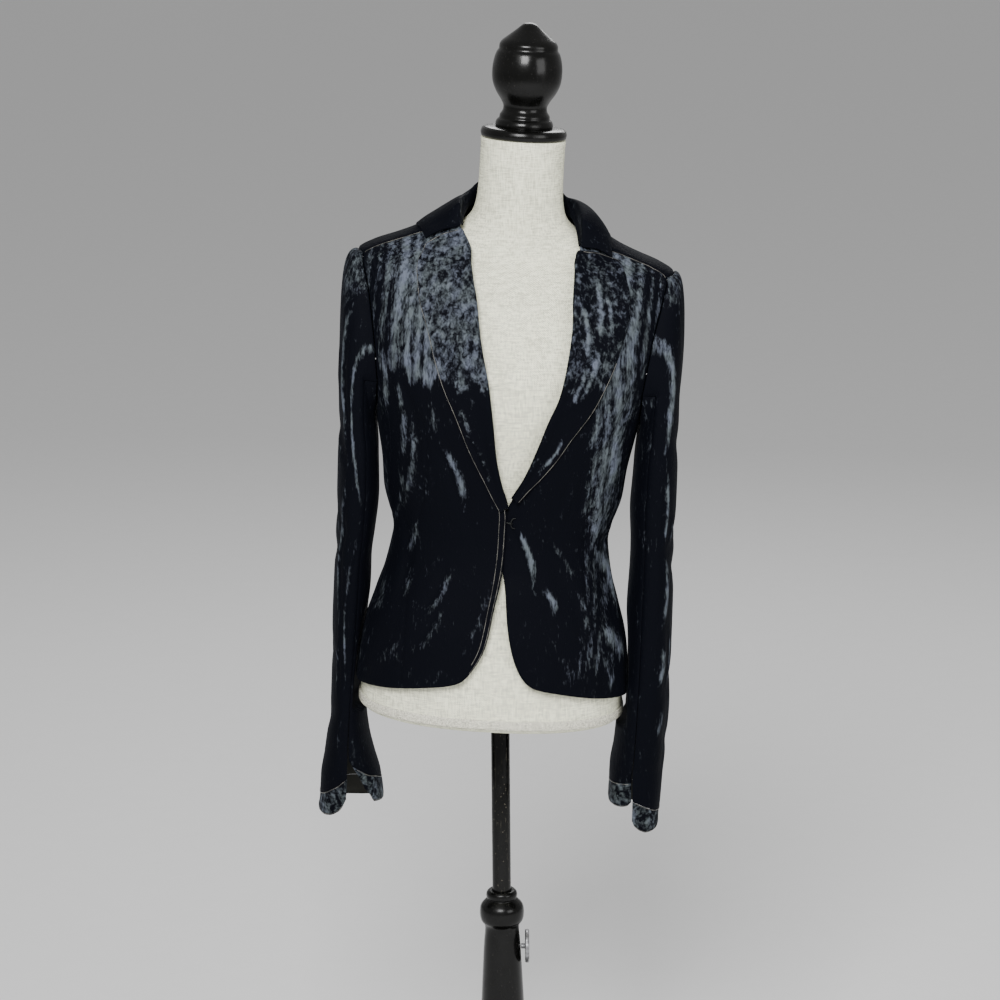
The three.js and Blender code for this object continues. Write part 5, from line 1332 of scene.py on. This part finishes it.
def surface(name):
    """A finish by its name, made the first time that it is asked for."""
    found = bpy.data.materials.get(name)
    if found:
        return found
    looks = bpy.context.scene.blazer
    made = {
        "crushed velvet": lambda: velvet(name, looks.dark, looks.pale, 3.0, 14, 8, 0.9),
        "lapel velvet": lambda: velvet(name, looks.dark, looks.pale, 5, 8, 9, 1.2),
        "cuff velvet": lambda: velvet(name, looks.dark, looks.cuff_pale, 5, 5, 9, 2.0),
        "dull lining": lambda: plain_cloth(name, looks.lining),
        "woven linen": lambda: linen(name, looks.linen, [0.5 * c for c in looks.linen]),
        "plaited cotton": lambda: braid_cotton(name, looks.braid, [0.3 * c for c in looks.braid]),
        "edge thread": lambda: thread_line(name, [0.2 * c for c in looks.edge], looks.edge),
        "gloss wood": lambda: black_gloss(name, looks.black, (0.09, 0.085, 0.08), False),
        "scratched pole": lambda: black_gloss(name, looks.black, (0.15, 0.135, 0.1), True),
        "dull steel": lambda: grey_steel(name, looks.steel, [0.5 * c for c in looks.steel]),
        "dark wire": lambda: grey_steel(name, looks.wire, [0.5 * c for c in looks.wire]),
        "matt paper": lambda: studio_floor(name, looks.floor),
    }
    return made[name]()


FRONTS = (
    ("front_right", front_shape(OVER_EDGE, over_seams, OVER_FOLDS, False), False,
     front_finish(OVER_CREASES, OVER_SHAPING, OVER_LAPEL, 0), (174, 577, 0.79)),
    ("front_left", front_shape(UNDER_EDGE, under_seams, UNDER_FOLDS, True), True,
     front_finish(UNDER_CREASES, UNDER_SHAPING, UNDER_LAPEL, 0.8), (168, 564, 0.74)),
)
LAPELS = (
    ("lapel_right", lapel_shape(OVER_ROLL, OVER_LAPEL, OVER_GORGE, -1), False,
     lapel_finish(OVER_LAPEL_CREASES, 0.74), (75, 345, 0.61)),
    ("lapel_left", lapel_shape(UNDER_ROLL, UNDER_LAPEL, UNDER_GORGE, 1), True,
     lapel_finish(UNDER_LAPEL_CREASES, 0.5), (70, 323, 0.65)),
)


class BLAZER_OT_fronts(bpy.types.Operator):
    """Adds the two fronts, which close right over left"""

    bl_idname = "blazer.fronts"
    bl_label = "Fronts"

    def execute(self, context):
        for name, place, over, finish, cut in FRONTS:
            cloth(name, place, (100, 250), over, finish, "crushed velvet", cut)
        return {"FINISHED"}


class BLAZER_OT_sides(bpy.types.Operator):
    """Adds the two side panels under the arms"""

    bl_idname = "blazer.sides"
    bl_label = "Side Panels"

    def execute(self, context):
        for name, seams, over in (("side_right", over_seams, False), ("side_left", under_seams, True)):
            cloth(name, side_shape(seams), (40, 160), over, side_finish, "crushed velvet", (110, 370, 0.74))
        return {"FINISHED"}


class BLAZER_OT_backs(bpy.types.Operator):
    """Adds the two backs, which meet in the centre back seam"""

    bl_idname = "blazer.backs"
    bl_label = "Backs"

    def execute(self, context):
        for name, seams, over in (("back_right", over_seams, True), ("back_left", under_seams, False)):
            cloth(name, back_shape(seams), (64, 190), over, back_finish, "crushed velvet", (210, 600, 0.74))
        return {"FINISHED"}


class BLAZER_OT_lapels(bpy.types.Operator):
    """Adds the two lapels, turned out from their roll lines"""

    bl_idname = "blazer.lapels"
    bl_label = "Lapels"

    def execute(self, context):
        for name, place, over, finish, cut in LAPELS:
            cloth(name, place, (70, 160), over, finish, "lapel velvet", cut)
        return {"FINISHED"}


class BLAZER_OT_collar(bpy.types.Operator):
    """Adds the collar, which falls over the back neck"""

    bl_idname = "blazer.collar"
    bl_label = "Collar"

    def execute(self, context):
        thick = context.scene.blazer.collar_wall
        cloth("collar", collar_shape, (180, 50), False, collar_finish, "crushed velvet",
              (394, 80, 0.75), thick)
        return {"FINISHED"}


class BLAZER_OT_sleeves(bpy.types.Operator):
    """Adds the upper and under pieces of both sleeves"""

    bl_idname = "blazer.sleeves"
    bl_label = "Sleeves"

    def execute(self, context):
        rows = {"right": (right_sleeve, OVER_SLEEVE_CREASES, 462, (190, 657, 0.81), (125, 523, 0.83)),
                "left": (left_sleeve, UNDER_SLEEVE_CREASES, 476, (190, 640, 0.85), (125, 506, 0.83))}
        for side, (sleeve, creases_on, head, upper_cut, under_cut) in rows.items():
            cloth(f"sleeve_upper_{side}", sleeve.upper, (84, 250), side == "left",
                  upper_finish(creases_on, head), "crushed velvet", upper_cut)
            cloth(f"sleeve_under_{side}", sleeve.under, (44, 200), side == "right",
                  under_finish, "crushed velvet", under_cut)
        return {"FINISHED"}


class BLAZER_OT_cuffs(bpy.types.Operator):
    """Adds the shaped cuffs"""

    bl_idname = "blazer.cuffs"
    bl_label = "Cuffs"

    def execute(self, context):
        rows = (("right", right_sleeve, (280, 37, 0.62)), ("left", left_sleeve, (262, 31, 0.78)))
        for side, sleeve, cut in rows:
            cloth(f"cuff_{side}", sleeve.cuff, (110, 20), side == "left", cuff_finish, "cuff velvet", cut)
        return {"FINISHED"}


class BLAZER_OT_edge_threads(bpy.types.Operator):
    """Adds the pale threads that show along the turned edges and seams"""

    bl_idname = "blazer.edge_threads"
    bl_label = "Edge Threads"

    def execute(self, context):
        run = np.linspace(0, 1, 160)
        over_front, under_front = FRONTS
        over_lapel, under_lapel = LAPELS
        thread("edge_line_outer", on_piece(over_front, 0.006, lerp(0.055, 0.40, run), 0.35))
        thread("edge_line_inner", on_piece(over_front, 0.026, lerp(0.075, 0.39, run), 0.2))
        thread("over_lapel_line", on_piece(over_lapel, 0.992, lerp(0.01, 0.99, run), 0.3))
        thread("under_lapel_line", on_piece(under_lapel, 0.992, lerp(0.01, 0.6, run), 0.3))
        thread("over_gorge_line", on_piece(over_lapel, lerp(0.2, 0.98, run), 0.992, 0.3))
        thread("under_gorge_line", on_piece(under_lapel, lerp(0.2, 0.98, run), 0.992, 0.3))
        thread("over_shoulder_line", on_piece(over_front, lerp(0.3, 0.99, run), 0.999, 0.25))
        thread("under_shoulder_line", on_piece(under_front, lerp(0.3, 0.99, run), 0.999, 0.25))
        for side, sleeve in (("right", right_sleeve), ("left", left_sleeve)):
            thread(f"cuff_seam_{side}", on_cuff(sleeve, lerp(0.01, 0.985, run), 0.985, 0.3))
            thread(f"cuff_edge_{side}", on_cuff(sleeve, lerp(0.02, 0.98, run), 0.04, 0.2))
        return {"FINISHED"}


class BLAZER_OT_seam_allowances(bpy.types.Operator):
    """Adds the turned-in seam allowances that close the seams from inside"""

    bl_idname = "blazer.seam_allowances"
    bl_label = "Seam Allowances"

    def execute(self, context):
        run = np.linspace(0.005, 1, 90)
        for name, seams in (("right", over_seams), ("left", under_seams)):
            armhole = [seams.arm_front(run), seams.arm_back(run), seams.arm_scoop(1 - run)]
            self.allowance(f"armhole_seam_{name}", *np.concatenate(armhole, 1), radius=2.3)
            self.allowance(f"side_seam_{name}", *seams.side_seam(run))
            self.allowance(f"back_seam_{name}", *seams.back_seam(run))
            self.allowance(f"shoulder_seam_{name}", *seams.shoulder(run))
        rise = column(CENTRE_BACK, "v", "z")(0.99 * run)
        self.allowance("centre_back_seam", np.full(rise.shape, math.pi), rise)
        return {"FINISHED"}

    def allowance(self, name, turn, z, radius=1.3):
        """A rolled allowance just inside a seam."""
        points = in_frame(body.raised(turn, z, np.full(z.shape, -radius - 0.3)))
        tube(name, points, radius * MM, "crushed velvet", 1)


class BLAZER_OT_hook(bpy.types.Operator):
    """Adds the wire hook and bar that hold the break of the lapels"""

    bl_idname = "blazer.hook"
    bl_label = "Hook and Bar"

    def execute(self, context):
        for name, rows in (("hook", HOOK), ("hook_bar", HOOK_BAR)):
            points = body.raised(body.turn_at_x(rows["x"], rows["z"]), rows["z"], rows["lift"])
            curve = in_frame(curve_through(points, np.linspace(0, 1, 60)))
            piece = tube(f"{name}_finished", curve, 0.5 * MM, "dark wire", 10)
            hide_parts(name)
        return {"FINISHED"}


class BLAZER_OT_form(bpy.types.Operator):
    """Adds the linen torso with the braided band round its foot"""

    bl_idname = "blazer.form"
    bl_label = "Linen Form"

    def execute(self, context):
        closed_piece("form_torso", torso_place, (128, 150), "woven linen")
        closed_piece("form_braid", braid_place, (900, 24), "plaited cotton")
        return {"FINISHED"}


class BLAZER_OT_neck_turnings(bpy.types.Operator):
    """Adds the turned cap and finial on the neck"""

    bl_idname = "blazer.neck_turnings"
    bl_label = "Neck Cap and Finial"

    def execute(self, context):
        upright = Matrix.Translation(Vector(FORM_FOOT) * MM) @ Matrix.Rotation(LEAN, 4, "Y")
        placed = upright @ Matrix.Translation((0, 2 * MM, 0))
        turned("neck_cap", CAP, "gloss wood", "form", placed)
        turned("finial", FINIAL, "gloss wood", "form", placed)
        return {"FINISHED"}


class BLAZER_OT_stand(bpy.types.Operator):
    """Adds the pole, the turned column, the base and the hand screw"""

    bl_idname = "blazer.stand"
    bl_label = "Stand"

    def execute(self, context):
        turned("pole", POLE, "scratched pole", "pole")
        turned("column", COLUMN, "gloss wood", "stand")
        turned("base", BASE, "gloss wood", "stand")
        aside = Matrix.Translation((0, 0, 336 * MM)) @ Matrix.Rotation(math.pi / 2, 4, "Y")
        turned("hand_screw", SCREW, "dull steel", "stand", aside)
        return {"FINISHED"}


class BLAZER_OT_stage(bpy.types.Operator):
    """Adds the floor, the soft studio lights and the photograph's camera"""

    bl_idname = "blazer.stage"
    bl_label = "Stage"

    def execute(self, context):
        world = bpy.data.worlds.new("studio")
        world.use_nodes = True
        sky = world.node_tree.nodes["Background"].inputs
        sky["Color"].default_value = (0.9, 0.9, 0.9, 1)
        sky["Strength"].default_value = 0.5
        context.scene.world = world
        paper = bmesh.new()
        bmesh.ops.create_grid(paper, x_segments=1, y_segments=1, size=60)
        mesh = bpy.data.meshes.new("floor")
        paper.to_mesh(mesh)
        paper.free()
        show(mesh, surface("matt paper"))
        camera = bpy.data.objects.new("camera", bpy.data.cameras.new("camera"))
        context.scene.collection.objects.link(camera)
        camera.data.sensor_width = 36
        camera.data.lens = CAMERA_LENS
        tilt = Matrix.Rotation(math.pi / 2 - math.radians(CAMERA_DOWN), 4, "X")
        level = Matrix.Rotation(math.radians(CAMERA_ROLL), 4, "Z")
        camera.matrix_world = Matrix.Translation(CAMERA_PLACE) @ tilt @ level
        context.scene.camera = camera
        for name, x, y, z, power, size in LAMPS:
            lamp = bpy.data.objects.new(name, bpy.data.lights.new(name, "AREA"))
            lamp.data.energy, lamp.data.size = power, size
            aim = (Vector((0, 0, 0.95)) - Vector((x, y, z))).to_track_quat("-Z", "Y")
            lamp.matrix_world = Matrix.Translation((x, y, z)) @ aim.to_matrix().to_4x4()
            context.scene.collection.objects.link(lamp)
        return {"FINISHED"}


STEPS = (BLAZER_OT_fronts, BLAZER_OT_sides, BLAZER_OT_backs, BLAZER_OT_lapels, BLAZER_OT_collar,
         BLAZER_OT_sleeves, BLAZER_OT_cuffs, BLAZER_OT_edge_threads, BLAZER_OT_seam_allowances,
         BLAZER_OT_hook, BLAZER_OT_form, BLAZER_OT_neck_turnings, BLAZER_OT_stand, BLAZER_OT_stage)


class BLAZER_PT_panel(bpy.types.Panel):
    """Lists the blazer's pieces, sizes and colours"""

    bl_label = "Blazer"
    bl_idname = "BLAZER_PT_panel"
    bl_space_type = "VIEW_3D"
    bl_region_type = "UI"
    bl_category = "Blazer"

    def draw(self, context):
        looks = context.scene.blazer
        for name in BlazerLooks.__annotations__:
            self.layout.prop(looks, name)
        for step in STEPS:
            self.layout.operator(step.bl_idname)


def register():
    for each in (BlazerLooks, *STEPS, BLAZER_PT_panel):
        bpy.utils.register_class(each)
    bpy.types.Scene.blazer = bpy.props.PointerProperty(type=BlazerLooks)


def unregister():
    del bpy.types.Scene.blazer
    for each in (BLAZER_PT_panel, *reversed(STEPS), BlazerLooks):
        bpy.utils.unregister_class(each)


def main():
    register()
    for step in STEPS:
        getattr(bpy.ops.blazer, step.bl_idname.split(".")[1])()


if __name__ == "__main__":
    main()
